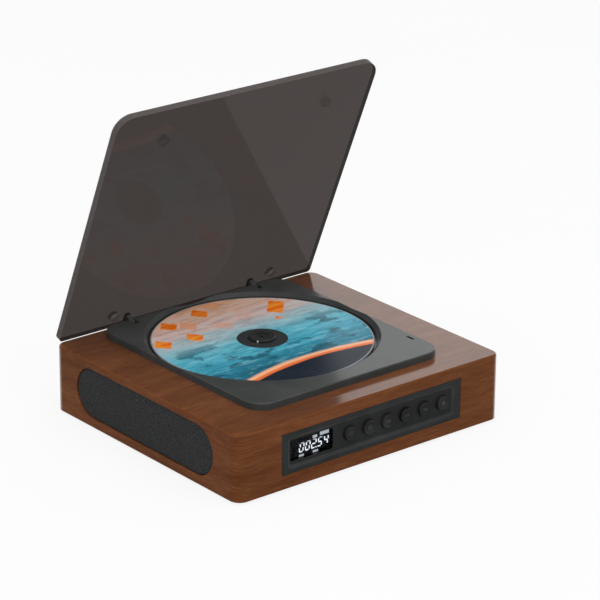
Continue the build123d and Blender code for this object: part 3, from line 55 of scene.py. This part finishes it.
# Materials. A pair is where a mask starts and where it is full.
# Width of the painted highlight along the edges of moulded plastic
EDGE_HIGHLIGHT_WIDTH = 0.5 * MM
LACQUER_SHOWS = (0.47, 0.61)                    # from facing the eye, 0, to edge-on, 1
OPEN = radians(67.3)                            # the lid's tilt at rest
SMOKE = (0.060, 0.050, 0.047, 1.0)              # light that the lid lets through
WEAVE = 0.7 * MM                                # two threads of the speaker cloth
# Depths for the painted highlight on the slopes of the front panel's dish, then for the painted shade on its
# floor
PANEL_HIGHLIGHT = (0.03 * MM, 0.15 * MM)            # depths in the front panel's dish
PANEL_SHADE = (1.05 * MM, 1.18 * MM)
DIGITS_DROP = 0.75 * MM                         # digits' middle under the display's middle
MARKS_AWAY = (2.4 * MM, 2.7 * MM)               # the small marks start this far from that
DIGIT_GLOW, MARK_GLOW = 2.2, 0.9
CLEAR_HUB = (0.2315, 0.2290)                    # shares of the disc's radius
DISC_RIM = (0.985, 0.992)
ARC_X, ARC_Y = 0.10, -3.12                      # the printed arc's centre, in disc radii
ARC_PALE, ARC_ORANGE, ARC_DARK = (2.62, 2.58), (2.56, 2.54), (2.52, 2.50)

# Cloth of the speakers, in mm: the (inset, depth) of its rolled edge, then its crowned face.
CLOTH_EDGE = ((0.0, 0.48), (0.0, 0.34), (0.05, 0.18), (0.16, 0.06), (0.34, 0.0))
CLOTH_BACK = (0.45, 0.48)
CLOTH_RING, CLOTH_STEPS = 160, 8
CLOTH_CROWN, CLOTH_THICK = 0.3, 0.25
CLOTH_RIDGE = 0.4                               # the innermost ring's distance from the middle line

# Marks on the buttons
BUTTON_DISH = 0.35 * MM
MARK_RISE = 0.1 * MM

# Stage. Lamps: name, place, aim, size and watts.
CAMERA = (-0.9559, -1.1825, 0.6598)
AIM = (0.06561, 0.061115, 0.0312)
ROLL = 0.414                                    # degrees
SENSOR, PICTURE_PIXELS, FOCAL_PIXELS = 36.0, 600, 3086.54
LENS = SENSOR * FOCAL_PIXELS / PICTURE_PIXELS
FLOOR_HALF = 4.0
FLOOR_WHITE = 0.86
HORIZON_LIGHT, ZENITH_LIGHT = 0.22, 1.0
LAMPS = (("overhead", (0.0, -0.55, 1.6), (0, 0, 0), (1.6, 1.4), 13.0),
         ("left_key", (-1.5, -0.9, 0.9), (0, 0, 0.03), (1.2, 1.2), 4.4))


def srgb(code):
    """A colour written as RRGGBB, as the shader's linear values."""
    parts = [int(code[i:i + 2], 16) / 255 for i in (0, 2, 4)]
    return (*[c / 12.92 if c < 0.04045 else ((c + 0.055) / 1.055) ** 2.4 for c in parts], 1.0)


def paint(value):
    """A socket as it is, a code as a colour, and a number as a grey."""
    if isinstance(value, str):
        return srgb(value)
    return (value, value, value, 1.0) if isinstance(value, float) else value


class Mat:
    """One material, with short calls that add nodes to its tree."""

    def __init__(self, name, colour="808080", rough=0.5, **sockets):
        self.mat = bpy.data.materials.new(name)
        self.mat.use_nodes = True
        self.tree = self.mat.node_tree
        self.shader = self.tree.nodes["Principled BSDF"]
        self.set("Base Color", paint(colour))
        self.set("Roughness", rough)
        for key, value in sockets.items():
            self.set(key.replace("_", " "), value)
        coordinates = self.add("ShaderNodeTexCoord").outputs
        self.point, self.normal = coordinates["Object"], coordinates["Normal"]

    def set(self, socket, value):
        self.put(self.shader.inputs[socket], value)

    def put(self, socket, value):
        if isinstance(value, bpy.types.NodeSocket):
            self.tree.links.new(value, socket)
        else:
            socket.default_value = value

    def add(self, kind, inputs=(), **props):
        node = self.tree.nodes.new(kind)
        for key, value in props.items():
            setattr(node, key, value)
        for key, value in dict(inputs).items():
            self.put(node.inputs[key], value)
        return node

    def math(self, op, a, b=0.0):
        return self.add("ShaderNodeMath", {0: a, 1: b}, operation=op).outputs[0]

    def sum(self, *terms):
        """The sum of (socket, factor) pairs and plain numbers."""
        total = 0.0
        for term in terms:
            value = self.math("MULTIPLY", *term) if isinstance(term, tuple) else term
            total = self.math("ADD", value, total)
        return total

    def product(self, *terms):
        total = terms[0]
        for term in terms[1:]:
            total = self.math("MULTIPLY", total, term)
        return total

    def distance(self, x, y):
        """How far (x, y) is from the origin."""
        squares = (self.math("MULTIPLY", x, x), 1.0), (self.math("MULTIPLY", y, y), 1.0)
        return self.math("SQRT", self.sum(*squares))

    def split(self, vector=None):
        out = self.add("ShaderNodeSeparateXYZ", {0: vector or self.point}).outputs
        return out[0], out[1], out[2]

    def join(self, x=0.0, y=0.0, z=0.0):
        return self.add("ShaderNodeCombineXYZ", {0: x, 1: y, 2: z}).outputs[0]

    def noise(self, vector, scale=1.0, detail=3.0, rough=0.55):
        return self.add("ShaderNodeTexNoise", {"Vector": vector, "Scale": scale, "Detail": detail,
                                               "Roughness": rough}).outputs[0]

    def stretched(self, x, y, z, scales, detail=3.0, rough=0.55, seed=0.0):
        """Noise that is scaled differently along each axis."""
        return self.noise(self.join(self.math("MULTIPLY", x, scales[0]), self.math("MULTIPLY", y, scales[1]),
                                    self.sum((z, scales[2]), seed)), 1.0, detail, rough)

    def cells(self, vector, scale, output="Distance", **props):
        return self.add("ShaderNodeTexVoronoi", {"Vector": vector, "Scale": scale}, **props).outputs[output]

    def ramp(self, fac, *stops):
        node = self.add("ShaderNodeValToRGB", {0: fac})
        ramp = node.color_ramp
        while len(ramp.elements) < len(stops):
            ramp.elements.new(1.0)
        for element, (place, colour) in zip(ramp.elements, stops):
            element.position = place
            element.color = paint(colour)
        return node.outputs[0]

    def remap(self, value, a, b, low=0.0, high=1.0):
        """A smooth step from low, at a, to high, at b."""
        return self.add("ShaderNodeMapRange", {0: value, 1: a, 2: b, 3: low, 4: high},
                        interpolation_type="SMOOTHSTEP").outputs[0]

    def mix(self, fac, a, b, blend="MIX"):
        """Mix of two colours: the node's sockets 6 and 7."""
        node = self.add("ShaderNodeMix", data_type="RGBA", blend_type=blend)
        for index, value in ((0, fac), (6, paint(a)), (7, paint(b))):
            self.put(node.inputs[index], value)
        return node.outputs[2]

    def bump(self, height, distance, strength=1.0):
        node = self.add("ShaderNodeBump", {"Height": height, "Distance": distance, "Strength": strength})
        self.set("Normal", node.outputs[0])

    def painted_edge_highlight(self):
        """A mask for the painted edge highlight: 0 on open faces to 1 along outer edges, from the angle
        between the sharp and rounded normals.
        """
        soft = self.add("ShaderNodeBevel", {"Radius": EDGE_HIGHLIGHT_WIDTH}, samples=4).outputs[0]
        hard = self.add("ShaderNodeNewGeometry").outputs["Normal"]
        dot = self.add("ShaderNodeVectorMath", {0: soft, 1: hard}, operation="DOT_PRODUCT").outputs["Value"]
        return self.remap(dot, 0.995, 0.85)

    def lacquer(self, weight, rough):
        """A clear coat that shows its gloss where the surface is seen at a shallow angle."""
        facing = self.add("ShaderNodeLayerWeight", {"Blend": 0.5}).outputs["Facing"]
        self.set("Coat Weight", self.remap(facing, *LACQUER_SHOWS, 0.0, weight))
        self.set("Coat Roughness", rough)


def moulded(name, colour, pale, rough, grain=0.00004, scale=2600.0, gloss=0.0, **sockets):
    """Moulded plastic with a fine eroded texture, cloudy gloss, and edges painted slightly paler as a
    painted highlight.
    """
    m = Mat(name, colour, rough, **sockets)
    cloud = m.noise(m.point, 60.0, 4.0)
    fine = m.noise(m.point, scale, 2.0, 0.6)
    base = m.mix(m.remap(cloud, 0.3, 0.7), colour, pale)
    # Edges are painted halfway to the pale tone as a painted highlight.
    m.set("Base Color", m.mix(m.math("MULTIPLY", m.painted_edge_highlight(), 0.5), base, pale))
    m.set("Roughness", m.sum((cloud, 0.16), rough - 0.08))
    m.bump(fine, grain)
    if gloss:
        m.lacquer(gloss, 0.16)
    return m


def panel_painted_light():
    """The front panel's plastic, with painted light in the dish of its face: a painted highlight on its
    slopes and painted shade on its floor.
    """
    m = moulded("panel_abs_painted_light", "292a2a", "313232", 0.42, Specular_IOR_Level=0.05)
    plain = m.shader.inputs["Base Color"].links[0].from_socket
    depth = m.sum(m.split()[1], -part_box("front_panel")[0][1])
    slope_highlight, floor = m.remap(depth, *PANEL_HIGHLIGHT), m.remap(depth, *PANEL_SHADE)
    # The slopes are painted 1.5 times paler as a highlight, and the floor is painted 0.82 times as dark as
    # shade in the recess.
    tint = m.mix(floor, m.mix(slope_highlight, 1.0, 1.5), 0.82)
    m.set("Base Color", m.mix(1.0, plain, tint, "MULTIPLY"))
    return m


def metal(name, colour, rough):
    """Rolled or turned steel with fine drawn lines and dull patches."""
    m = Mat(name, colour, rough, Metallic=1.0)
    lines = m.stretched(*m.split(), (900.0, 900.0, 60.0))
    dull = m.noise(m.point, 120.0, 4.0)
    m.set("Base Color", m.mix(m.remap(lines, 0.3, 0.7, 0.0, 0.25), colour, "6d6e70"))
    m.set("Roughness", m.sum((dull, 0.22), rough - 0.1))
    m.bump(lines, 0.00001)
    return m


def wood():
    """Walnut veneer under satin lacquer. The grain runs along X on the top and round the sides.

    The sides take their height plus an offset in place of y, so that their figure isn't the top's.
    """
    m = Mat("walnut_veneer", "683c22", 0.42, Specular_IOR_Level=0.04)
    x, y, z = m.split()
    upright = m.remap(m.math("ABSOLUTE", m.split(m.normal)[2]), 0.80, 0.60)
    along = m.split(m.mix(upright, m.join(x), m.join(m.math("SUBTRACT", x, y))))[0]
    across = m.split(m.mix(upright, m.join(y), m.join(m.math("ADD", z, 0.31))))[0]
    drift = m.stretched(along, across, 0.0, (22.0, 55.0, 0.0), 2.0)
    bent = m.sum((drift, 0.0035), across)
    cloud = m.stretched(along, across, 0.0, (9.0, 26.0, 0.0), 3.0, 0.5, 2.3)
    figure = m.stretched(along, bent, 0.0, (16.0, 170.0, 0.0), 4.0, 0.6, 0.7)
    streak = m.stretched(along, bent, 0.0, (95.0, 1300.0, 0.0), 3.0, 0.6, 3.1)
    fibre = m.stretched(along, bent, 0.0, (420.0, 4200.0, 0.0), 2.0, 0.6, 5.0)
    tone = m.ramp(m.sum((figure, 0.65), (cloud, 0.35)),
                  (0.34, "5c3219"), (0.47, "683c21"), (0.56, "714326"), (0.68, "7c4d2e"))
    tone = m.mix(m.remap(streak, 0.42, 0.70, 0.0, 0.36), tone, "4a2914")
    tone = m.mix(m.remap(streak, 0.50, 0.28, 0.0, 0.22), tone, "93623f")
    pore = m.remap(fibre, 0.60, 0.74, 0.0, 0.5)
    m.set("Base Color", m.mix(pore, tone, "361e10"))
    m.set("Roughness", m.sum((streak, 0.16), 0.34))
    m.bump(m.sum((streak, 0.35), (pore, -1.0)), 0.00003, 0.6)
    m.lacquer(1.0, 0.13)
    m.set("Coat IOR", 1.62)
    return m


def smoked():
    """Dark acrylic sheet. Little light comes through, and its sawn edges are satin and paler."""
    m = Mat("smoked_acrylic", SMOKE, 0.03, Transmission_Weight=1.0, IOR=1.15)
    outward = (0.0, sin(OPEN), cos(OPEN))
    flat = m.math("ABSOLUTE", m.add("ShaderNodeVectorMath", {0: m.normal, 1: outward},
                                    operation="DOT_PRODUCT").outputs["Value"])
    edge = m.remap(flat, 0.85, 0.35)
    haze = m.noise(m.point, 35.0, 3.0)
    saw = m.noise(m.point, 900.0, 2.0)
    m.set("Base Color", m.mix(edge, SMOKE, m.mix(saw, "4c4746", "625c5a")))
    m.set("Transmission Weight", m.remap(edge, 0.0, 1.0, 1.0, 0.25))
    m.set("Roughness", m.sum((haze, 0.05), (edge, 0.3), 0.005))
    m.bump(m.noise(m.point, 18.0, 1.0), 0.00003, 0.25)
    return m


def glass(name, tint, rough, ior):
    """Tinted see-through plastic with a faintly uneven tint."""
    m = Mat(name, tint, rough, Transmission_Weight=1.0, IOR=ior)
    deeper = (*[0.92 * c for c in tint[:3]], 1.0)
    m.set("Base Color", m.mix(m.remap(m.noise(m.point, 90.0), 0.3, 0.7), tint, deeper))
    return m


def cloth():
    """Plain weave of slubby two-tone yarn, some three threads to the millimetre."""
    m = Mat("speaker_cloth", "2b2c2d", 0.95, Specular_IOR_Level=0.08)
    x, y, z = m.split()
    pitch = 2 * pi / WEAVE
    warp, weft = m.math("SINE", m.math("MULTIPLY", y, pitch)), m.math("SINE", m.math("MULTIPLY", z, pitch))
    over = m.math("MULTIPLY", warp, weft)
    up = m.stretched(x, y, z, (0.0, 1500.0, 620.0), 2.0, 0.5, 1.0)
    level = m.stretched(x, y, z, (0.0, 620.0, 1500.0), 2.0, 0.5, 4.0)
    yarn = m.split(m.mix(m.remap(over, -0.15, 0.15), m.join(up), m.join(level)))[0]
    cloud = m.noise(m.point, 260.0, 3.0)
    tone = m.ramp(m.sum((yarn, 0.8), (over, 0.07), (cloud, 0.12), 0.04),
                  (0.28, "1d1e1f"), (0.45, "303132"), (0.60, "3d3d3e"), (0.80, "595a5b"))
    m.set("Base Color", tone)
    m.bump(m.sum((over, 0.5), (yarn, 0.7)), 0.00012, 0.9)
    return m


def disc_face():
    """Disc: a generic print of soft bands, diamonds and an arc on top, and a silvery side below.

    The clear hub of the disc lets the black platter show as a dark ring.
    """
    m = Mat("disc_print", "4fa3b4", 0.25, Specular_IOR_Level=0.10)
    low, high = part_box("disc")
    cx, cy, radius = (low[0] + high[0]) / 2, (low[1] + high[1]) / 2, (high[0] - low[0]) / 2
    x, y, z = m.split()
    u, v = m.sum((x, 1 / radius), -cx / radius), m.sum((y, 1 / radius), -cy / radius)
    r = m.distance(u, v)
    flow = m.stretched(u, v, 0.0, (1.3, 4.6, 0.0), 5.0, 0.6, 2.0)
    brush = m.stretched(u, v, 0.0, (3.2, 15.0, 0.0), 5.0, 0.7, 7.0)
    patch = m.stretched(u, v, 0.0, (3.5, 5.0, 0.0), 4.0, 0.6, 9.0)
    wave = m.sum((v, 0.5), (flow, 0.30), 0.35)
    sky = m.ramp(wave, (0.06, "184a5b"), (0.24, "26768d"), (0.38, "45a5bd"), (0.52, "66bccf"),
                 (0.64, "a9cad2"), (0.75, "e4c6bf"), (0.88, "f0c3ac"), (1.0, "f4b892"))
    sky = m.mix(m.remap(brush, 0.42, 0.68, 0.0, 0.55), sky, m.mix(0.6, sky, "123c4c"))
    sky = m.mix(m.remap(brush, 0.50, 0.30, 0.0, 0.45), sky, "a8dbe4")
    shade = m.product(m.remap(patch, 0.50, 0.62), m.remap(v, 0.35, 0.0), m.remap(v, -0.75, -0.45), 0.75)
    sky = m.mix(shade, sky, "17475a")
    turned = m.join(m.sum((u, 3.1), (v, 2.6)), m.sum((u, 3.1), (v, -2.6), 0.4))
    gap = m.cells(turned, 1.0, distance="CHEBYCHEV")
    pick = m.split(m.cells(turned, 1.0, "Color", distance="CHEBYCHEV"))[0]
    gem = m.product(m.remap(gap, 0.32, 0.27), m.remap(pick, 0.30, 0.34), m.remap(v, 0.24, 0.32),
                    m.remap(brush, 0.78, 0.66))
    sky = m.mix(gem, sky, m.mix(m.remap(brush, 0.40, 0.60), "f26a10", "ffa03a"))
    arc = m.sum(m.distance(m.sum(u, -ARC_X), m.sum(v, -ARC_Y)), (flow, 0.05))
    sky = m.mix(m.remap(arc, *ARC_PALE), sky, "f4b48c")
    sky = m.mix(m.remap(arc, *ARC_ORANGE), sky, "e8743c")
    sky = m.mix(m.remap(arc, *ARC_DARK), sky, m.mix(brush, "151c26", "26303c"))
    dark = m.remap(r, *CLEAR_HUB)
    rim = m.remap(r, *DISC_RIM)
    face = m.mix(rim, m.mix(dark, sky, "343637"), "8b9094")
    below = m.remap(m.split(m.normal)[2], -0.4, -0.6)
    m.set("Base Color", m.mix(below, face, "c9ccd0"))
    m.set("Metallic", below)
    m.set("Roughness", m.remap(below, 0.0, 1.0, 0.26, 0.12))
    return m


def glowing():
    """Lit segments of the display: bright digits, and fainter small marks over and under them."""
    m = Mat("lit", "e9f4ff", 0.4, Emission_Color=(0.93, 0.97, 1.0, 1))
    m.set("Roughness", m.sum((m.noise(m.point, 400.0), 0.2), 0.3))
    low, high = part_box("display_segments")
    away = m.math("ABSOLUTE", m.sum(m.split()[2], DIGITS_DROP - (low[2] + high[2]) / 2))
    m.set("Emission Strength", m.remap(away, *MARKS_AWAY, DIGIT_GLOW, MARK_GLOW))
    return m


def lens():
    """The pickup's coated lens."""
    m = Mat("optic", (0.55, 0.5, 0.75, 1), 0.02, Transmission_Weight=0.6, Coat_Weight=1.0)
    m.set("Base Color", m.ramp(m.add("ShaderNodeLayerWeight").outputs["Fresnel"],
                               (0.0, "5a4a9a"), (0.5, "3a7ab0"), (1.0, "b070c0")))
    return m


finish = {
    "wood": wood(),
    "black_plastic": moulded("black_abs", "3a3d3c", "444746", 0.34, gloss=0.5, Specular_IOR_Level=0.14),
    "panel_plastic": moulded("panel_abs", "292a2a", "313232", 0.42, Specular_IOR_Level=0.05),
    "base_plastic": moulded("base_abs", "1b1c1d", "262728", 0.55, Specular_IOR_Level=0.3),
    "inner_plastic": moulded("inner_abs", "202122", "2b2c2d", 0.5),
    "smoked_acrylic": smoked(),
    "clear_plastic": glass("clear_silicone", (0.82, 0.81, 0.80, 1), 0.1, 1.06),
    "cloth": cloth(),
    "rubber": moulded("rubber", "161616", "232323", 0.8, 0.00008, 1500.0),
    "steel": metal("steel", "b9bcc0", 0.3),
    "dark_steel": metal("dark_steel", "3c3d40", 0.38),
    "magnet_steel": metal("magnet_steel", "8d9094", 0.35),
    "disc_plastic": disc_face(),
    "white_plastic": moulded("white_pom", "d8d8d2", "e4e4de", 0.45),
    "board": moulded("circuit_board", "1d4a2c", "245a36", 0.4),
    "chip": moulded("chip", "1a1a1b", "28282a", 0.5),
    "paper": moulded("cone_paper", "232323", "303030", 0.85, 0.00012, 900.0),
    "battery": moulded("cell_wrap", "2f5d86", "3a6b96", 0.4),
    "lit": glowing(),
    "optic": lens(),
}
# The keys' pale tone clouds them at random and also paints the highlight along their edges.
keys = moulded("key_abs", "151616", "2f3030", 0.34, Specular_IOR_Level=0.08)
own_finish = {"display_window": glass("display_window", (0.40, 0.41, 0.43, 1), 0.0, 1.05),
              "front_panel": panel_painted_light(),
              "spindle_hub": moulded("hub_abs", "252626", "2f3030", 0.45, Specular_IOR_Level=0.12)}
own_finish.update((node, keys) for node in nodes if node.startswith("button_"))

for part in frame["record"]["subparts"]:
    chosen = own_finish.get(part["node"]) or finish[part["material_slot"]]
    for slot in nodes[part["node"]].material_slots:
        slot.material = chosen.mat


def piece(name, form, body, material):
    """A finished mesh as an object that rides on a body."""
    mesh = bpy.data.meshes.new(name)
    bmesh.ops.recalc_face_normals(form, faces=form.faces)
    form.to_mesh(mesh)
    form.free()
    mesh.materials.append(material.mat)
    obj = bpy.data.objects.new(name, mesh)
    bpy.context.collection.objects.link(obj)
    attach(obj, body)
    return obj


def stadium(length, height, count):
    """Points round a round-ended outline, centred on the origin."""
    r, half = height / 2, (length - height) / 2
    points = []
    for i in range(count):
        a = 2 * pi * i / count
        points.append((r * cos(a) + (half if cos(a) > 0 else -half), r * sin(a)))
    return points


def stretched_cloth(side):
    """Cloth pulled over the speaker's frame: softly crowned, rolled at its edge, and hollow behind."""
    side_name = "left" if side < 0 else "right"
    name = "grille_cloth_" + side_name
    low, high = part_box(name)
    cy, cz = (low[1] + high[1]) / 2, (low[2] + high[2]) / 2
    length, height = high[1] - low[1], high[2] - low[2]
    face = side * max(abs(low[0]), abs(high[0]))
    form = bmesh.new()

    def ring(inset, depth):
        points = stadium(length - 2 * inset, height - 2 * inset, CLOTH_RING)
        return [form.verts.new((face - side * depth, cy + p, cz + q)) for p, q in points]

    edge_inset = CLOTH_EDGE[-1][0]
    deepest = height / 2 / MM - CLOTH_RIDGE
    crowned = []
    for i in range(1, CLOTH_STEPS + 1):
        inset = edge_inset + (deepest - edge_inset) * i / CLOTH_STEPS
        crowned.append((inset, -CLOTH_CROWN * (1 - (1 - inset * MM / (height / 2)) ** 2)))
    front = [*CLOTH_EDGE, *crowned]
    back = [CLOTH_BACK] + [(inset, depth + CLOTH_THICK) for inset, depth in crowned]
    rings = [ring(inset * MM, depth * MM) for inset, depth in back[::-1] + front]
    for a, b in zip(rings, rings[1:]):
        for i in range(CLOTH_RING):
            j = (i + 1) % CLOTH_RING
            form.faces.new((a[i], a[j], b[j], b[i]))
    for end in (rings[0], rings[-1]):
        for i in range(CLOTH_RING // 2):
            corner = (end[i], end[i + 1], end[-i - 1], end[-i] if i else end[0])
            form.faces.new(list(dict.fromkeys(corner)))
    obj = piece("speaker_cloth_" + side_name, form, "case", finish["cloth"])
    for polygon in obj.data.polygons:
        polygon.use_smooth = True
    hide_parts(name)


def bar(x0, x1, z0, z1):
    """Upright rectangle, in millimetres as the other outlines of the marks."""
    return [(x0, z0), (x1, z0), (x1, z1), (x0, z1)]


def arrow(x, way):
    """Triangle whose tip points along `way` from x."""
    return [(x, -0.75), (x + way * 1.15, 0.0), (x, 0.75)]


def arc_parts(r0, r1, start, stop, steps):
    """Band of a circle as small four-sided parts, in degrees from +X."""
    angles = [radians(start + (stop - start) * i / steps) for i in range(steps + 1)]
    return [[(r0 * cos(a), r0 * sin(a)), (r1 * cos(a), r1 * sin(a)),
             (r1 * cos(b), r1 * sin(b)), (r0 * cos(b), r0 * sin(b))] for a, b in zip(angles, angles[1:])]


SYMBOLS = {
    "power": arc_parts(1.05, 1.35, 125, 415, 16) + [bar(-0.15, 0.15, 0.35, 1.55)],
    "mode": [bar(-1.2, 1.2, 0.75, 1.05), bar(-1.2, 1.2, -0.15, 0.15), bar(-1.2, 1.2, -1.05, -0.75)],
    "previous": [bar(-1.45, -1.15, -0.75, 0.75), arrow(0.1, -1), arrow(1.3, -1)],
    "play": [arrow(-1.3, 1), bar(0.25, 0.55, -0.75, 0.75), bar(0.95, 1.25, -0.75, 0.75)],
    "next": [bar(1.15, 1.45, -0.75, 0.75), arrow(-0.1, 1), arrow(-1.3, 1)],
    "stop": [bar(-0.85, 0.85, -0.85, 0.85)],
}


def symbol(name, shapes):
    """Low raised mark on the dished face of one button."""
    low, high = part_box("button_" + name)
    cx, cz = (low[0] + high[0]) / 2, (low[2] + high[2]) / 2
    floor = low[1] + BUTTON_DISH
    form = bmesh.new()
    for shape in shapes:
        near = [form.verts.new((cx + p * MM, floor - MARK_RISE, cz + q * MM)) for p, q in shape]
        far = [form.verts.new((cx + p * MM, floor + MARK_RISE / 2, cz + q * MM)) for p, q in shape]
        form.faces.new(near)
        form.faces.new(far[::-1])
        for i in range(len(shape)):
            j = (i + 1) % len(shape)
            form.faces.new((near[i], far[i], far[j], near[j]))
    bmesh.ops.remove_doubles(form, verts=form.verts, dist=1e-7)
    piece("symbol_" + name, form, "button_" + name, marking)


def stage():
    """A pale floor that fades into a white world."""
    form = bmesh.new()
    bmesh.ops.create_grid(form, x_segments=1, y_segments=1, size=FLOOR_HALF)
    mesh = bpy.data.meshes.new("floor")
    form.to_mesh(mesh)
    form.free()
    floor = bpy.data.objects.new("floor", mesh)
    bpy.context.collection.objects.link(floor)
    m = Mat("pale_floor", 0.78, 0.7, Specular_IOR_Level=0.1)
    m.set("Base Color", m.ramp(m.noise(m.point, 6.0), (0.2, 0.76), (0.8, 0.80)))
    seen = direct_light(m.tree)
    white = m.add("ShaderNodeEmission", {"Color": (1, 1, 1, 1), "Strength": 1.0}).outputs[0]
    blend = m.add("ShaderNodeMixShader", {0: m.math("MULTIPLY", seen, FLOOR_WHITE), 1: m.shader.outputs[0],
                                          2: white}).outputs[0]
    m.put(m.tree.nodes["Material Output"].inputs["Surface"], blend)
    mesh.materials.append(m.mat)

    world = bpy.data.worlds.new("world")
    bpy.context.scene.world = world
    world.use_nodes = True
    tree = world.node_tree
    tree.nodes.clear()
    mix = tree.nodes.new("ShaderNodeMixShader")
    tree.links.new(direct_light(tree), mix.inputs[0])
    for index in (1, 2):
        shade = tree.nodes.new("ShaderNodeBackground")
        shade.inputs["Color"].default_value = (1, 1, 1, 1)
        tree.links.new(shade.outputs[0], mix.inputs[index])
        if index == 1:
            tree.links.new(sky_light(tree), shade.inputs["Strength"])
    out = tree.nodes.new("ShaderNodeOutputWorld")
    tree.links.new(mix.outputs[0], out.inputs[0])


def sky_light(tree):
    """Softer light from the horizon than from overhead."""
    direction = tree.nodes.new("ShaderNodeTexCoord").outputs["Generated"]
    height = tree.nodes.new("ShaderNodeSeparateXYZ")
    tree.links.new(direction, height.inputs[0])
    level = tree.nodes.new("ShaderNodeMapRange")
    tree.links.new(height.outputs[2], level.inputs[0])
    level.inputs[3].default_value, level.inputs[4].default_value = HORIZON_LIGHT, ZENITH_LIGHT
    return level.outputs[0]


def direct_light(tree):
    """1 for camera, glossy and transmitted rays, which see the background itself, and 0 for the rest."""
    path = tree.nodes.new("ShaderNodeLightPath").outputs
    value = path["Is Camera Ray"]
    for name in ("Is Glossy Ray", "Is Transmission Ray"):
        most = tree.nodes.new("ShaderNodeMath")
        most.operation = "MAXIMUM"
        tree.links.new(value, most.inputs[0])
        tree.links.new(path[name], most.inputs[1])
        value = most.outputs[0]
    return value


def lamp(name, place, aim, size, power):
    """A soft rectangular lamp that faces its aim."""
    data = bpy.data.lights.new(name, "AREA")
    data.shape = "RECTANGLE"
    data.size, data.size_y = size
    data.energy = power
    obj = bpy.data.objects.new(name, data)
    bpy.context.collection.objects.link(obj)
    obj.location = place
    obj.rotation_euler = (Vector(aim) - Vector(place)).to_track_quat("-Z", "Y").to_euler()


def camera():
    """The viewpoint found by fitting the case, the disc and the lid to their outlines."""
    data = bpy.data.cameras.new("camera")
    data.sensor_width = data.sensor_height = SENSOR
    data.lens = LENS
    data.clip_start, data.clip_end = 0.05, 50.0
    obj = bpy.data.objects.new("camera", data)
    bpy.context.collection.objects.link(obj)
    obj.location = CAMERA
    turn = (Vector(AIM) - Vector(CAMERA)).to_track_quat("-Z", "Y").to_matrix()
    right, up, back = turn.col[0], turn.col[1], turn.col[2]
    a = radians(ROLL)
    new_right, new_up = right * cos(a) + up * sin(a), up * cos(a) - right * sin(a)
    turn.col[0], turn.col[1], turn.col[2] = new_right, new_up, back
    obj.rotation_euler = turn.to_euler()
    bpy.context.scene.camera = obj


marking = moulded("symbol_paint", "3c3d3e", "484a4b", 0.5, Specular_IOR_Level=0.1)
for side in (-1, 1):
    stretched_cloth(side)
for name, shapes in SYMBOLS.items():
    symbol(name, shapes)
stage()
for lamp_values in LAMPS:
    lamp(*lamp_values)
camera()
bpy.context.scene.view_settings.view_transform = "Standard"
